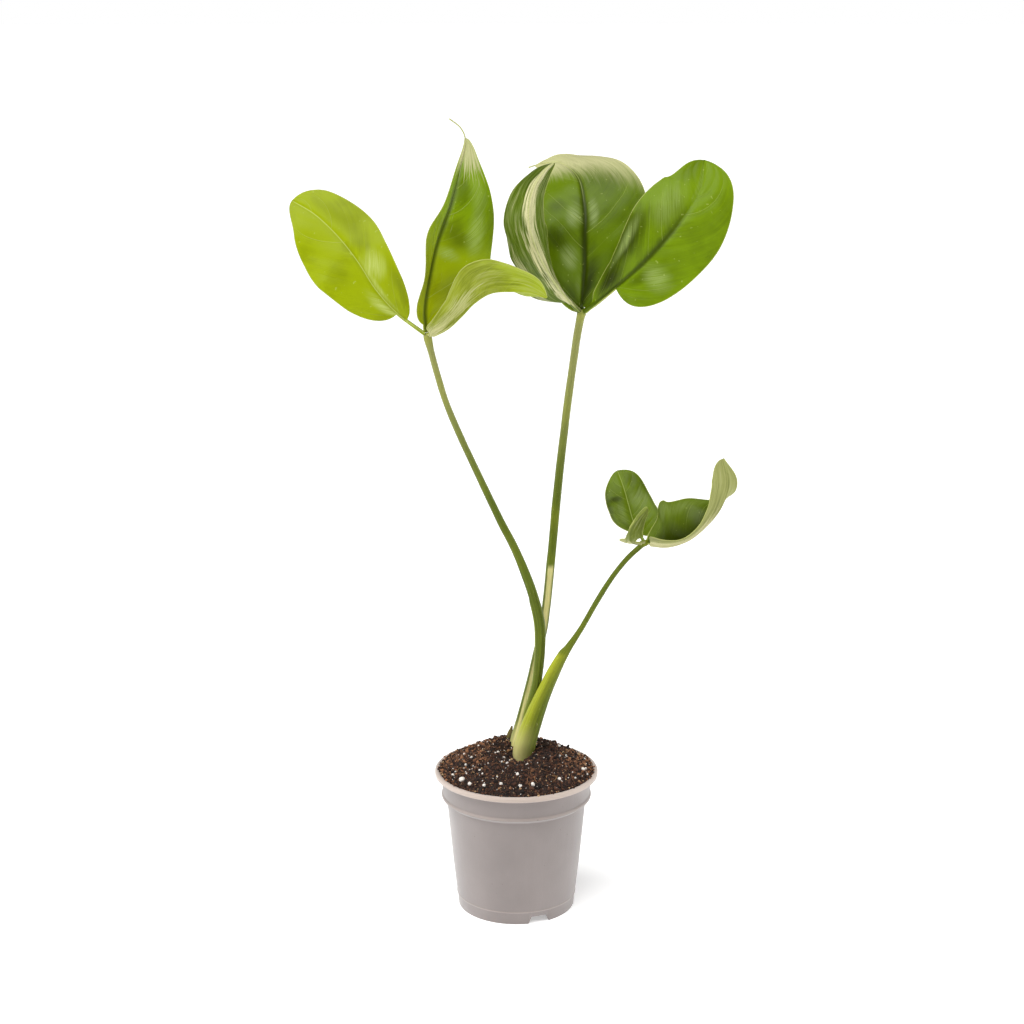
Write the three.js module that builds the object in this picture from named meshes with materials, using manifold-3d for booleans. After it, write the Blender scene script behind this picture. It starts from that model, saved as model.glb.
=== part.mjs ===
// Potted aroid house plant: three long petioles in a moulded nursery pot, each with three leaflets.
// Millimetres, +Z up. The origin is on the floor under the centre of the pot.
import * as THREE from "three";
import { mergeVertices } from "three/addons/utils/BufferGeometryUtils.js";
import Module from "manifold-3d";

const wasm = await Module();
wasm.setup();

// Pot
const RIM_RADIUS = 60;
const POT_HEIGHT = 105;
const LIP_HEIGHT = 4;
const COLLAR_RADIUS = 55;
const COLLAR_FOOT = 84.5;
const BODY_TOP_RADIUS = 51.2;
const FOOT_RADIUS = 42.9;
const FOOT_LINE = 9.5;
const WALL = 1.1;
const BASE_HEIGHT = 5.5;
const NOTCH_COUNT = 3;
const NOTCH_ANGLE = -67;
const NOTCH_WIDTH = 16;
const NOTCH_TOP_WIDTH = 12;
const NOTCH_HEIGHT = 5.2;
const DRAIN_RADIUS = 4;
const DRAIN_CIRCLE = 29;

// Potting mix
const GAP = 0.3;
const MIX_EDGE = 103.6;
const MIX_RISE = 18;
const MIX_RADIUS = 56;
const HOLLOW_DEPTH = 12;
const HOLLOW_X = 1;
const HOLLOW_Y = -5;
const HOLLOW_SPREAD = 162;
const HUMP_HEIGHT = 1.8;
const HUMP_Y = 30;
const HUMP_SPREAD = 650;

// Leaf blades
const MARGIN = 0.35;
const BLADE = 0.6;
const TIP_RADIUS = 0.45;

const radians = THREE.MathUtils.degToRad;

function curve(rows) {
  const points = rows.map((row) => new THREE.Vector3(row[0], row[1] ?? 0, row[2] ?? 0));
  return new THREE.CatmullRomCurve3(points, false, "catmullrom", 0.5);
}

function smooth(x) {
  const t = THREE.MathUtils.clamp(x, 0, 1);
  return t * t * (3 - 2 * t);
}

// Closed skin over a row of rings that all have the same number of points, with a strip across each end.
// The two halves of a ring are split along matching diagonals, so that a thin skin stays evenly thick.
function skin(rings) {
  const count = rings[0].length;
  const half = count / 2;
  const geometry = new THREE.BufferGeometry().setFromPoints(rings.flat());
  const index = [];
  for (let i = 0; i < rings.length - 1; i++) {
    for (let j = 0; j < count; j++) {
      const a = i * count + j;
      const b = i * count + ((j + 1) % count);
      if (j < half) index.push(a, b, b + count, a, b + count, a + count);
      else index.push(a, b, a + count, b, b + count, a + count);
    }
  }
  const end = (rings.length - 1) * count;
  for (let j = 0; j < half - 1; j++) {
    const k = count - 1 - j;
    index.push(j, k, k - 1, j, k - 1, j + 1);
    index.push(end + j, end + k - 1, end + k, end + j, end + j + 1, end + k - 1);
  }
  geometry.setIndex(index);
  return geometry;
}

// Directions along, above and across a spine at length fraction u.
function frameAt(spine, face, u) {
  const t = spine.getUtoTmapping(u);
  const along = spine.getTangentAt(u);
  const up = face.getPoint(t);
  up.addScaledVector(along, -up.dot(along)).normalize();
  const across = new THREE.Vector3().crossVectors(along, up);
  return { t, centre: spine.getPoint(t), along, up, across };
}

// Half width of one side of a blade: an ellipse whose size changes smoothly through six stations.
function halfWidth(side, end, u) {
  const x = THREE.MathUtils.clamp((u - side.start) / (end - side.start), 0, 1);
  return Math.sqrt(4 * x * (1 - x)) * Math.max(0, side.profile.getPoint(x).x);
}

// A leaflet: a thin blade folded along its midrib, with a keel below it that runs out into its stalk.
function leaflet(shape) {
  const spine = curve(shape.midrib);
  const face = curve(shape.face);
  const fold = curve(shape.fold);
  const curl = curve(shape.curl);
  const end = shape.end ?? 1;
  const sides = [shape.left, shape.right].map((row) => (
    { start: row[0], lobe: row[1], profile: curve(row.slice(2).map((w) => [w])) }));
  const first = Math.min(sides[0].start, sides[1].start);
  const steps = [0, first * 0.55];
  const count = shape.rings ?? 12;
  for (let i = 0; i <= count; i++) {
    steps.push(first + (end - first) * (0.5 - 0.5 * Math.cos((Math.PI * i) / count)));
  }
  if (end < 0.95) steps.push((end + 1) / 2);
  if (end < 1) steps.push(1);
  const [waves, swell, phase] = [shape.ripple[1], shape.ripple[0], shape.ripple[2]];
  const rings = steps.map((u) => {
    const { t, centre, along, up, across } = frameAt(spine, face, u);
    const folds = fold.getPoint(t);
    const curls = curl.getPoint(t);
    const stem = THREE.MathUtils.lerp(shape.stalk, TIP_RADIUS, Math.min(1, u * 1.3));
    const widths = sides.map((side) => halfWidth(side, end, u));
    const round = 1 - smooth((Math.max(...widths) - stem) / (3 * stem));
    const top = [];
    const bottom = [];
    const stations = [-1, -0.7, -0.4, -2, 0, 2, 0.4, 0.7, 1];
    stations.forEach((station, k) => {
      const h = k < 4 ? 0 : 1;
      const sign = Math.sign(station);
      const width = Math.max(widths[h], stem);
      const q = Math.abs(station) === 2 ? Math.min(0.25, stem / width) : Math.abs(station);
      const bend = radians(h === 0 ? curls.x : curls.y);
      const lean = radians(h === 0 ? folds.x : folds.y);
      const half = (bend * q) / 2;
      const chord = width * q * (Math.abs(half) < 1e-6 ? 1 : Math.sin(half) / half);
      const wave = swell * Math.sin(2 * Math.PI * waves * u + phase + 1.7 * h) * q * q;
      const back = widths[h] > 0 ? -sides[h].lobe * (1 - u) ** 4 * q ** 1.5 : 0;
      const point = centre.clone()
        .addScaledVector(across, sign * chord * Math.cos(lean + half))
        .addScaledVector(up, chord * Math.sin(lean + half) + wave * Math.min(1, widths[h] / 10))
        .addScaledVector(along, back);
      const tilt = lean + bend * q;
      const normal = up.clone().multiplyScalar(Math.cos(tilt))
        .addScaledVector(across, -sign * Math.sin(tilt));
      const keel = station === 0 ? stem * 1.2 : 0;
      const depth = THREE.MathUtils.lerp(BLADE, MARGIN, q) + keel;
      const angle = Math.PI * (1 - (k + 0.5) / stations.length);
      const ring = (s) => centre.clone()
        .addScaledVector(across, stem * Math.cos(angle))
        .addScaledVector(up, s * stem * Math.sin(angle));
      top.push(point.clone().lerp(ring(1), round));
      bottom.push(point.addScaledVector(normal, -depth).lerp(ring(-1), round));
    });
    return [...top, ...bottom.reverse()];
  });
  return skin(rings);
}

// A tapering stalk with an oval section: rows are x, y, z, half width, half depth.
function stalk(rows, grow = 0, sections = 18, corners = 12) {
  const spine = curve(rows);
  const size = curve(rows.map((row) => [row[3] + grow, row[4] + grow]));
  const face = curve([[0, -1, 0], [0, -1, 0]]);
  const rings = [];
  for (let i = 0; i <= sections; i++) {
    const u = i / sections;
    const { t, centre, along, up, across } = frameAt(spine, face, u);
    const radius = size.getPoint(t);
    const ring = [];
    for (let k = 0; k < corners; k++) {
      const angle = Math.PI * (1 - (k + 0.5) / (corners / 2));
      ring.push(centre.clone()
        .addScaledVector(across, radius.x * Math.cos(angle))
        .addScaledVector(up, radius.y * Math.sin(angle)));
    }
    if (grow && i === 0) ring.forEach((point) => point.addScaledVector(along, -grow));
    if (grow && i === sections) ring.forEach((point) => point.addScaledVector(along, grow));
    rings.push(ring);
  }
  return skin(rings);
}

function solid(geometry) {
  const bare = geometry.clone();
  bare.deleteAttribute("normal");
  bare.deleteAttribute("uv");
  const merged = mergeVertices(bare, 1e-4);
  const mesh = new wasm.Mesh({
    numProp: 3,
    vertProperties: new Float32Array(merged.attributes.position.array),
    triVerts: new Uint32Array(merged.index.array),
  });
  return new wasm.Manifold(mesh);
}

// The biggest of the separate bodies that a cut leaves.
function largest(body) {
  return body.decompose().sort((a, b) => b.volume() - a.volume())[0];
}

function geometryOf(body) {
  const mesh = body.getMesh();
  const geometry = new THREE.BufferGeometry();
  geometry.setAttribute("position", new THREE.BufferAttribute(mesh.vertProperties.slice(), 3));
  geometry.setIndex(new THREE.BufferAttribute(mesh.triVerts.slice(), 1));
  return geometry;
}

function revolve(profile, segments) {
  const points = profile.map(([r, z]) => new THREE.Vector2(r, z));
  return new THREE.LatheGeometry(points, segments).rotateX(Math.PI / 2);
}

const plant = new THREE.Group();

function add(name, geometry, color, roughness, metalness = 0) {
  const material = new THREE.MeshStandardMaterial({ color, roughness, metalness });
  const mesh = new THREE.Mesh(geometry, material);
  mesh.name = name;
  plant.add(mesh);
  return mesh;
}

// Pot: one moulded shell with a rolled lip, a collar, a tapering body and a notched foot ring.
const lipFoot = POT_HEIGHT - LIP_HEIGHT;
const outside = [
  [FOOT_RADIUS, 0], [FOOT_RADIUS + 0.9, FOOT_LINE - 0.6], [FOOT_RADIUS + 1.5, FOOT_LINE],
  [FOOT_RADIUS + 1.2, FOOT_LINE + 0.8], [BODY_TOP_RADIUS, COLLAR_FOOT - 2.5],
  [COLLAR_RADIUS - 1.6, COLLAR_FOOT - 0.4], [COLLAR_RADIUS, COLLAR_FOOT + 0.5],
  [COLLAR_RADIUS + 0.1, COLLAR_FOOT + 1.8], [COLLAR_RADIUS - 0.7, COLLAR_FOOT + 2.8],
  [COLLAR_RADIUS + 0.3, lipFoot - 0.6], [RIM_RADIUS - 1.2, lipFoot],
  [RIM_RADIUS, lipFoot + 1.2], [RIM_RADIUS, POT_HEIGHT - 1.1], [RIM_RADIUS - 1.1, POT_HEIGHT],
  [RIM_RADIUS - 2.6, POT_HEIGHT], [RIM_RADIUS - 3.6, POT_HEIGHT - 1]];
const inside = [
  [COLLAR_RADIUS - WALL, lipFoot - 1], [COLLAR_RADIUS - WALL - 0.7, COLLAR_FOOT + 1.6],
  [BODY_TOP_RADIUS - WALL, COLLAR_FOOT - 3], [FOOT_RADIUS - 0.8, BASE_HEIGHT + 2.6],
  [FOOT_RADIUS - 2, BASE_HEIGHT + WALL]];
const shell = revolve([
  [0, BASE_HEIGHT], [FOOT_RADIUS - 3, BASE_HEIGHT], [FOOT_RADIUS - 1.7, 0],
  ...outside, ...inside, [0, BASE_HEIGHT + WALL]], 52);

let pot = solid(shell);
for (let i = 0; i < NOTCH_COUNT; i++) {
  const half = NOTCH_WIDTH / 2;
  const top = NOTCH_TOP_WIDTH / 2;
  const outline = new THREE.Shape([
    new THREE.Vector2(-half - 0.4, -1), new THREE.Vector2(half + 0.4, -1),
    new THREE.Vector2(top, NOTCH_HEIGHT), new THREE.Vector2(-top, NOTCH_HEIGHT)]);
  const notch = new THREE.ExtrudeGeometry(outline, { depth: 12, bevelEnabled: false });
  notch.rotateX(Math.PI / 2).translate(0, -FOOT_RADIUS + 5, 0).rotateZ(radians(90 + NOTCH_ANGLE + 360 / NOTCH_COUNT * i));
  pot = pot.subtract(solid(notch));
}
for (let i = 0; i < 8; i++) {
  const hole = new THREE.CylinderGeometry(DRAIN_RADIUS, DRAIN_RADIUS, 6, 12).rotateX(Math.PI / 2);
  hole.translate(DRAIN_CIRCLE, 0, BASE_HEIGHT + WALL / 2).rotateZ(radians(45 * i));
  pot = pot.subtract(solid(hole));
}
const centreHole = new THREE.CylinderGeometry(DRAIN_RADIUS, DRAIN_RADIUS, 6, 12).rotateX(Math.PI / 2);
pot = pot.subtract(solid(centreHole.translate(0, 0, BASE_HEIGHT + WALL / 2)));
add("pot", geometryOf(pot), "#b3a69f", 0.55);

// Petioles, each with its sheath at the foot: x, y, z, half width, half depth.
const rightPetiole = [
  [4.7, 3.5, 104, 7.2, 6.6], [6, 3, 121, 7.9, 7.2], [12.3, 1, 142, 7, 6.4], [19.9, -2.5, 163, 5.4, 5],
  [27.9, -6, 182, 4.2, 4.2], [35.6, -10, 198, 3, 2.9], [45.6, -13, 215, 2, 2.1],
  [57.1, -17, 237.5, 1.9, 1.9], [67.2, -21, 256, 1.8, 1.8], [77.2, -24, 270.5, 1.8, 1.8],
  [87.3, -26, 281, 1.8, 1.8], [90.8, -27, 284, 2.3, 2.3], [91.8, -27.4, 285.6, 1.1, 1.1]];
const leftPetiole = [
  [2.2, 5.5, 104, 3.6, 3.6], [4.4, 5, 121, 4, 4], [8.2, 4.5, 141, 4, 3.8], [12.2, 3.5, 157, 4, 3.6],
  [15.1, 2, 172.5, 3.6, 3.5], [17.2, 0, 196, 3.8, 3.6], [17, -2, 216, 3.8, 3.5], [13, -4, 235, 3.5, 3.4],
  [7, -6, 254, 3.3, 3.2], [-1.5, -8, 275, 2.9, 2.9], [-11.7, -10, 296, 2.6, 2.6],
  [-25.8, -12, 327, 2.4, 2.4], [-38.3, -14, 355, 2.3, 2.3], [-49.9, -15, 384, 2.2, 2.2],
  [-58.7, -15, 415.5, 2.2, 2.2], [-61.7, -15, 428, 2.9, 2.9], [-62.3, -15, 430.8, 1.4, 1.4]];
const middlePetiole = [
  [-2.8, 10.5, 104, 4.4, 4.4], [-0.9, 11.5, 119, 4.4, 4.6], [4.6, 13.5, 141, 3.8, 4], [9.9, 15, 164, 3.2, 3.6],
  [15.2, 17, 187, 3.2, 3.4], [19.6, 18, 206, 3.2, 3.2], [22.4, 20, 228, 3.1, 3.1],
  [25.3, 22, 258, 3.1, 3], [28.8, 25, 298.5, 3, 2.9], [32.9, 27, 339, 2.9, 2.8],
  [37.1, 28, 375.5, 2.8, 2.8], [41.8, 27, 412, 2.7, 2.7], [45.1, 25, 434, 2.9, 2.9],
  [46.1, 24, 438.5, 3.2, 3.2], [46.7, 23.7, 441, 1.6, 1.6]];
const right = solid(stalk(rightPetiole, 0, 22, 14));
const left = largest(solid(stalk(leftPetiole, 0, 28, 12))
  .subtract(solid(stalk(rightPetiole, GAP + 0.1, 22, 14))));
const middle = largest(solid(stalk(middlePetiole, 0, 24, 12))
  .subtract(solid(stalk(rightPetiole, GAP + 0.1, 22, 14)))
  .subtract(solid(stalk(leftPetiole, GAP + 0.1, 28, 12))));
add("right_petiole", geometryOf(right), "#8a9a3c", 0.5);
add("left_petiole", geometryOf(left), "#7f9136", 0.5);
add("middle_petiole", geometryOf(middle), "#a9b55c", 0.5);

// Short buried stem and its main roots.
const crownProfile = [[0, 66], [3.5, 67.5], [5.5, 72], [7, 82], [8, 94], [8, 101], [7, 103], [0, 103.2]];
const roots = [
  [[3, 6, 95, 2, 2], [18, -6, 86, 1.8, 1.8], [31, -14, 66, 1.4, 1.4], [36, -15, 42, 1, 1]],
  [[3, 6, 90, 2, 2], [-10, -8, 82, 1.8, 1.8], [-20, -22, 60, 1.4, 1.4], [-22, -28, 34, 1, 1]],
  [[3, 6, 93, 2, 2], [-14, 14, 84, 1.8, 1.8], [-30, 20, 62, 1.4, 1.4], [-34, 18, 38, 1, 1]],
  [[3, 6, 88, 2, 2], [12, 22, 78, 1.8, 1.8], [20, 34, 56, 1.4, 1.4], [18, 36, 32, 1, 1]],
  [[3, 6, 80, 2, 2], [2, 4, 64, 2, 2], [-3, 6, 44, 1.5, 1.5], [4, 2, 22, 1, 1]]];
const CROWN_X = 3.5;
const CROWN_Y = 7;

function crown(grow) {
  const profile = crownProfile.map(([r, z], i) => [r ? r + grow : 0, z + (i < 2 ? -grow : i > 5 ? grow : 0)]);
  let body = solid(revolve(profile, 16).translate(CROWN_X, CROWN_Y, 0));
  for (const root of roots) body = body.add(solid(stalk(root, grow, 7, 6)));
  return body;
}
add("root_crown", geometryOf(crown(0)), "#8d7650", 0.8);

// Withered sheath beside the stem, and a sliver of bark lying on the mix.
const witheredSheath = [
  [-6, 18, 112, 1.6, 0.7], [-5.2, 18, 119, 2.1, 0.8], [-4.3, 18, 125.5, 1.7, 0.7], [-3.2, 18, 131, 0.6, 0.4]];
const barkSliver = [
  [17.6, 7.5, 117.6, 0.8, 0.7], [20, 7, 119.6, 1.3, 0.9], [22, 6.5, 121, 1, 0.8], [24, 6.5, 120.7, 0.5, 0.5]];
add("withered_sheath", stalk(witheredSheath, 0, 6, 8), "#7c6a3c", 0.8);
add("bark_sliver", stalk(barkSliver, 0, 5, 8), "#2f231b", 0.9);

// Perlite granules on the mix: x, y, radius.
const granules = [
  [-39.3, -31, 2.2], [0.8, -37.4, 1.5], [2.5, -47.5, 1.6], [-33.5, -38.5, 1.4], [48.5, -11, 1.5],
  [31.8, 19.4, 1.3], [11.8, -46, 1.5], [-11.1, -44.5, 1.3], [7.7, -25.7, 1.1], [-13.5, -1.2, 1],
  [-6.8, -23.5, 1], [-46, -21, 1.2], [-36.8, -15, 1.1], [31, -35.3, 1.3], [-23.2, -43.5, 1.2],
  [24, 38, 1.5], [-28, 30, 1.4], [-8, 44, 1.2]];

function lumps(x, y) {
  return 0.7 * Math.sin(0.62 * x + 0.3) * Math.cos(0.55 * y) + 0.5 * Math.sin(0.31 * x - 0.47 * y + 1.2);
}

function mixHeight(x, y) {
  const r = Math.hypot(x, y) / MIX_RADIUS;
  const hollow = HOLLOW_DEPTH * Math.exp(-((x - HOLLOW_X) ** 2 + (y - HOLLOW_Y) ** 2) / HOLLOW_SPREAD);
  const hump = HUMP_HEIGHT * Math.exp(-(x * x + (y - HUMP_Y) ** 2) / HUMP_SPREAD);
  return MIX_EDGE + MIX_RISE * (1 - r * r) - hollow + hump + lumps(x, y) * smooth((1 - r) * 4);
}

function granule(index, grow) {
  const [x, y, radius] = granules[index];
  const grain = new THREE.IcosahedronGeometry(radius + grow, radius > 2 ? 1 : 0);
  grain.scale(1.1, 0.9, 0.8).rotateZ(index * 1.3).rotateX(index * 0.7);
  return grain.translate(x, y, mixHeight(x, y) + radius * 0.25);
}

// Potting mix: fills the pot, domed above the rim, with a pocket for each thing that is set in it.
const bottom = BASE_HEIGHT + WALL + GAP;
const mixProfile = [
  [0, bottom], [FOOT_RADIUS - 2.3, bottom], [FOOT_RADIUS - 1.2, BASE_HEIGHT + 2.7],
  [BODY_TOP_RADIUS - WALL - GAP - 0.1, COLLAR_FOOT - 2.9],
  [COLLAR_RADIUS - WALL - 1.1, COLLAR_FOOT + 1.7], [COLLAR_RADIUS - WALL - 0.45, lipFoot - 0.8],
  [MIX_RADIUS, MIX_EDGE]];
const mixRings = 9;
for (let i = 1; i < mixRings; i++) mixProfile.push([MIX_RADIUS * (1 - i / mixRings), MIX_EDGE]);
mixProfile.push([0, MIX_EDGE]);
const heap = mergeVertices((() => {
  const geometry = revolve(mixProfile, 40);
  geometry.deleteAttribute("normal");
  geometry.deleteAttribute("uv");
  return geometry;
})(), 1e-4);
const spots = heap.attributes.position;
for (let i = 0; i < spots.count; i++) {
  if (Math.abs(spots.getZ(i) - MIX_EDGE) < 1e-3) spots.setZ(i, mixHeight(spots.getX(i), spots.getY(i)));
}
let mix = solid(heap);
const set = [stalk(rightPetiole, GAP, 22, 14), stalk(leftPetiole, GAP, 28, 12),
  stalk(middlePetiole, GAP, 24, 12), stalk(witheredSheath, GAP, 6, 8), stalk(barkSliver, GAP, 5, 8)];
for (const piece of set) mix = mix.subtract(solid(piece));
mix = mix.subtract(crown(GAP));
granules.forEach((row, i) => {
  mix = mix.subtract(solid(granule(i, GAP)));
  add(`perlite_${String(i + 1).padStart(2, "0")}`, granule(i, 0), "#e4dfd6", 0.85);
});
add("potting_mix", geometryOf(mix), "#3a2a20", 0.95);

// Leaflets. midrib: points from the stalk to the tip. face: which way the upper side faces at each point.
// left, right: where the half starts, how far its lobe hangs back, and six half widths.
// fold: how far each half rises from the midrib, in degrees. curl: how far it turns on towards its margin.
// ripple: height, number and phase of the waves along the margin. end: where the blade ends before its tail.
const leaflets = [
  {
    name: "left_outer_leaflet",
    color: "#a9bf3e",
    stalk: 1.4,
    midrib: [[-63.9, -16.3, 430.6], [-82.2, -22, 445.8], [-96.2, -24, 461.9], [-108.5, -20, 480.6],
      [-122.5, -12, 497.1], [-138.7, -4, 511.3], [-155.1, 4, 520.1]],
    face: [[-0.1, -0.8, 0.6], [0, -1, 0.3], [0, -1, 0.25], [0.05, -1, 0.2], [0.05, -1, 0.3],
      [0.1, -1, 0.4], [0.1, -1, 0.45]],
    left: [0.175, -1, 28, 30, 33, 32, 29, 21],
    right: [0.115, 0, 24, 23.5, 23, 26.5, 27, 29],
    fold: [[12, 12], [12, 12], [10, 10], [8, 8], [5, 5], [4, 4], [3, 3]],
    curl: [[-5, -5], [-8, -8], [-12, -12], [-18, -18], [-18, -18], [-14, -14], [-8, -8]],
    ripple: [1, 2.2, 0.5],
  },
  {
    name: "left_upright_leaflet",
    color: "#93ad3a",
    stalk: 1.7,
    rings: 13,
    midrib: [[-63, -12, 431], [-63, -9, 449], [-59, -4, 473], [-54, 4, 493], [-46, 16, 515],
      [-40, 30, 539], [-36, 40, 557], [-39, 40, 567], [-47, 34, 574]],
    face: [[0.45, -0.9, 0.1], [0.45, -0.9, 0.1], [0.4, -1, 0.15], [0.35, -1, 0.25], [0.3, -1, 0.35],
      [0.2, -0.9, 0.5], [0.1, -0.9, 0.5], [0.1, -0.9, 0.5], [0, -0.8, 0.8]],
    left: [0.03, 0, 19, 6.5, 12, 6, 4, 3],
    right: [0, 2, 20, 47, 44, 37, 28, 13],
    fold: [[0, 15], [5, 8], [40, 5], [35, 3], [25, 3], [15, 3], [10, 3], [5, 3], [5, 3]],
    curl: [[5, -8], [0, -20], [-5, -22], [-10, -22], [-10, -20], [0, -10], [0, 0], [0, 0], [0, 0]],
    ripple: [1, 1.7, 0.5],
    end: 0.88,
  },
  {
    name: "left_front_leaflet",
    color: "#9fb04a",
    stalk: 1.8,
    midrib: [[-60.3, -16.6, 430.1], [-48, -30, 438], [-38, -40, 448], [-29, -50, 458], [-17, -60, 466],
      [-3, -68, 468], [9, -74, 468], [20, -78, 465]],
    face: [[-0.4, 0.5, 0.8], [-0.45, 0.5, 0.8], [-0.4, 0.5, 0.9], [-0.3, 0.5, 0.9], [0, 0.5, 0.9],
      [0.1, 0.5, 0.9], [0.2, 0.45, 0.9], [0.3, 0.4, 0.9]],
    left: [0.01, 0, 20, 18, 18, 20, 18, 12],
    right: [0.01, 0, 20, 15.5, 16, 27, 41, 44],
    fold: [[30, 40], [30, 40], [32, 40], [30, 40], [28, 36], [20, 30], [14, 24], [10, 20]],
    curl: [[10, 0], [10, 0], [5, 0], [0, -10], [-10, -20], [-20, -25], [-20, -25], [-10, -10]],
    ripple: [0.8, 1.5, 2.5],
  },
  {
    name: "middle_left_leaflet",
    color: "#5c7a30",
    stalk: 1.8,
    midrib: [[44, 22.6, 440.9], [32, 2, 456], [21, -20, 474], [12, -28, 494], [8, -26, 512], [11, -14, 529],
      [19, 0, 540], [26, 8, 545]],
    face: [[-0.4, 0.6, 0.6], [-0.3, 0.8, 0.4], [-0.1, 0.95, 0.2], [0.1, 1, 0], [0.15, 1, -0.1],
      [0.15, 0.9, -0.3], [0.2, 0.8, -0.5], [0.2, 0.7, -0.7]],
    left: [0.16, 2, 5, 9, 19, 21, 14, 7],
    right: [0.1, 1, 71, 34, 34, 34, 28, 23],
    fold: [[40, 30], [50, 35], [55, 38], [58, 38], [58, 36], [50, 30], [40, 25], [30, 20]],
    curl: [[10, 10], [15, 20], [15, 25], [15, 30], [15, 30], [15, 25], [10, 10], [5, 5]],
    ripple: [0.8, 2, 0.5],
  },
  {
    name: "middle_centre_leaflet",
    color: "#4c7424",
    stalk: 2,
    midrib: [[46, 27.4, 441.4], [48, 22, 468], [48, 22, 491], [48, 32, 512], [44, 50, 532], [32, 72, 541],
      [21, 84, 540], [9, 90, 536]],
    face: [[0, -1, 0.2], [0, -1, 0.15], [-0.05, -1, 0.2], [-0.05, -0.95, 0.35], [-0.05, -0.85, 0.55],
      [0, -0.75, 0.65], [0, -0.75, 0.65], [0, -0.75, 0.65]],
    left: [0.03, 8.6, 36, 38, 37, 33, 22, 10],
    right: [0.01, 3, 27, 37, 44, 42, 22, 1],
    fold: [[25, 25], [15, 15], [8, 8], [4, 8], [2, 8], [0, 4], [0, 0], [0, 0]],
    curl: [[5, 5], [-10, -10], [-20, -20], [-25, -25], [-25, -25], [-20, -20], [-10, -10], [0, 0]],
    ripple: [1, 2, 0],
    end: 0.97,
  },
  {
    name: "middle_right_leaflet",
    color: "#4f7a28",
    stalk: 2,
    midrib: [[48.4, 22.4, 440.5], [68, 6, 459], [89, -8, 480], [110, -6, 504], [126, 4, 527], [130, 14, 547]],
    face: [[-0.4, -0.8, 0.4], [-0.35, -0.9, 0.35], [-0.2, -1, 0.3], [-0.1, -1, 0.25], [-0.1, -1, 0.3],
      [-0.1, -1, 0.4]],
    left: [0.02, 3, 6, 17, 24, 32, 35, 37],
    right: [0.22, -0, 42, 37, 34, 34, 32, 30],
    fold: [[28, 28], [22, 18], [16, 10], [10, 6], [6, 4], [4, 4]],
    curl: [[0, 0], [-14, -10], [-20, -18], [-20, -18], [-14, -14], [-5, -5]],
    ripple: [1.2, 2.3, 0.8],
  },
  {
    name: "right_rear_leaflet",
    color: "#4a6a30",
    stalk: 1.2,
    rings: 10,
    midrib: [[89.3, -24.8, 284.8], [83, -18, 296], [79, -10, 309], [76, -4, 319], [72, 4, 329]],
    face: [[0.2, -0.9, 0.3], [0.15, -1, 0.2], [0.1, -1, 0.15], [0.1, -1, 0.2], [0.1, -0.9, 0.4]],
    left: [0.12, 2, 8, 15.5, 15.5, 15.5, 15, 11.5],
    right: [0.1, 7, 25, 24, 18.5, 16.5, 17.5, 21.5],
    fold: [[20, 20], [14, 14], [8, 8], [5, 5], [3, 3]],
    curl: [[0, 0], [-8, -8], [-14, -14], [-18, -18], [-18, -18]],
    ripple: [0.6, 2, 0.3],
  },
  {
    name: "right_boat_leaflet",
    color: "#3f5f28",
    stalk: 1.3,
    midrib: [[93, -28, 284], [105, -40, 286], [119, -46, 292], [131, -48, 303], [140.5, -48, 316],
      [146, -46, 332], [142.5, -42, 348]],
    face: [[0, -0.3, 0.95], [-0.05, -0.3, 0.93], [-0.4, -0.25, 0.85], [-0.6, 0, 0.7], [-0.6, 0.45, 0.4],
      [-0.35, 0.9, 0.1], [-0.2, 1, 0]],
    left: [0.035, 8, 27, 38.5, 29.5, 22, 12, 3],
    right: [0.01, -7, 39, 10.5, 5.5, 10.5, 16, 20],
    fold: [[60, 45], [62, 48], [60, 50], [52, 45], [35, 25], [15, 10], [5, 5]],
    curl: [[10, 10], [10, 10], [10, 10], [5, 5], [5, 5], [0, 0], [0, 0]],
    ripple: [0.5, 1.6, 1],
  },
  {
    name: "right_front_leaflet",
    color: "#8d9a5c",
    stalk: 1.1,
    rings: 10,
    midrib: [[89.7, -29, 285], [83, -37, 287], [79, -42, 291], [79, -46, 299], [83, -48, 307],
      [87, -49, 312], [90, -48, 315]],
    face: [[0, 0.7, 0.7], [0, 0.8, 0.6], [0.3, 0.85, 0.4], [0.3, 0.95, 0], [-0.1, 0.95, 0.1],
      [-0.2, 0.95, 0.1], [-0.2, 0.95, 0.1]],
    left: [0.25, 7, 0, 10.5, 9, 9, 10, 12.5],
    right: [0.08, -8, 38, 10, 2.5, 0.5, 1.5, 3.5],
    fold: [[10, 10], [10, 10], [10, 10], [15, 20], [20, 40], [25, 50], [25, 50]],
    curl: [[0, 20], [5, 60], [10, 60], [15, 50], [20, 30], [20, 20], [10, 10]],
    ripple: [0.2, 1.6, 1],
  },
];
for (const shape of leaflets) add(shape.name, leaflet(shape), shape.color, 0.4);

export default plant;
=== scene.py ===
import math

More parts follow.
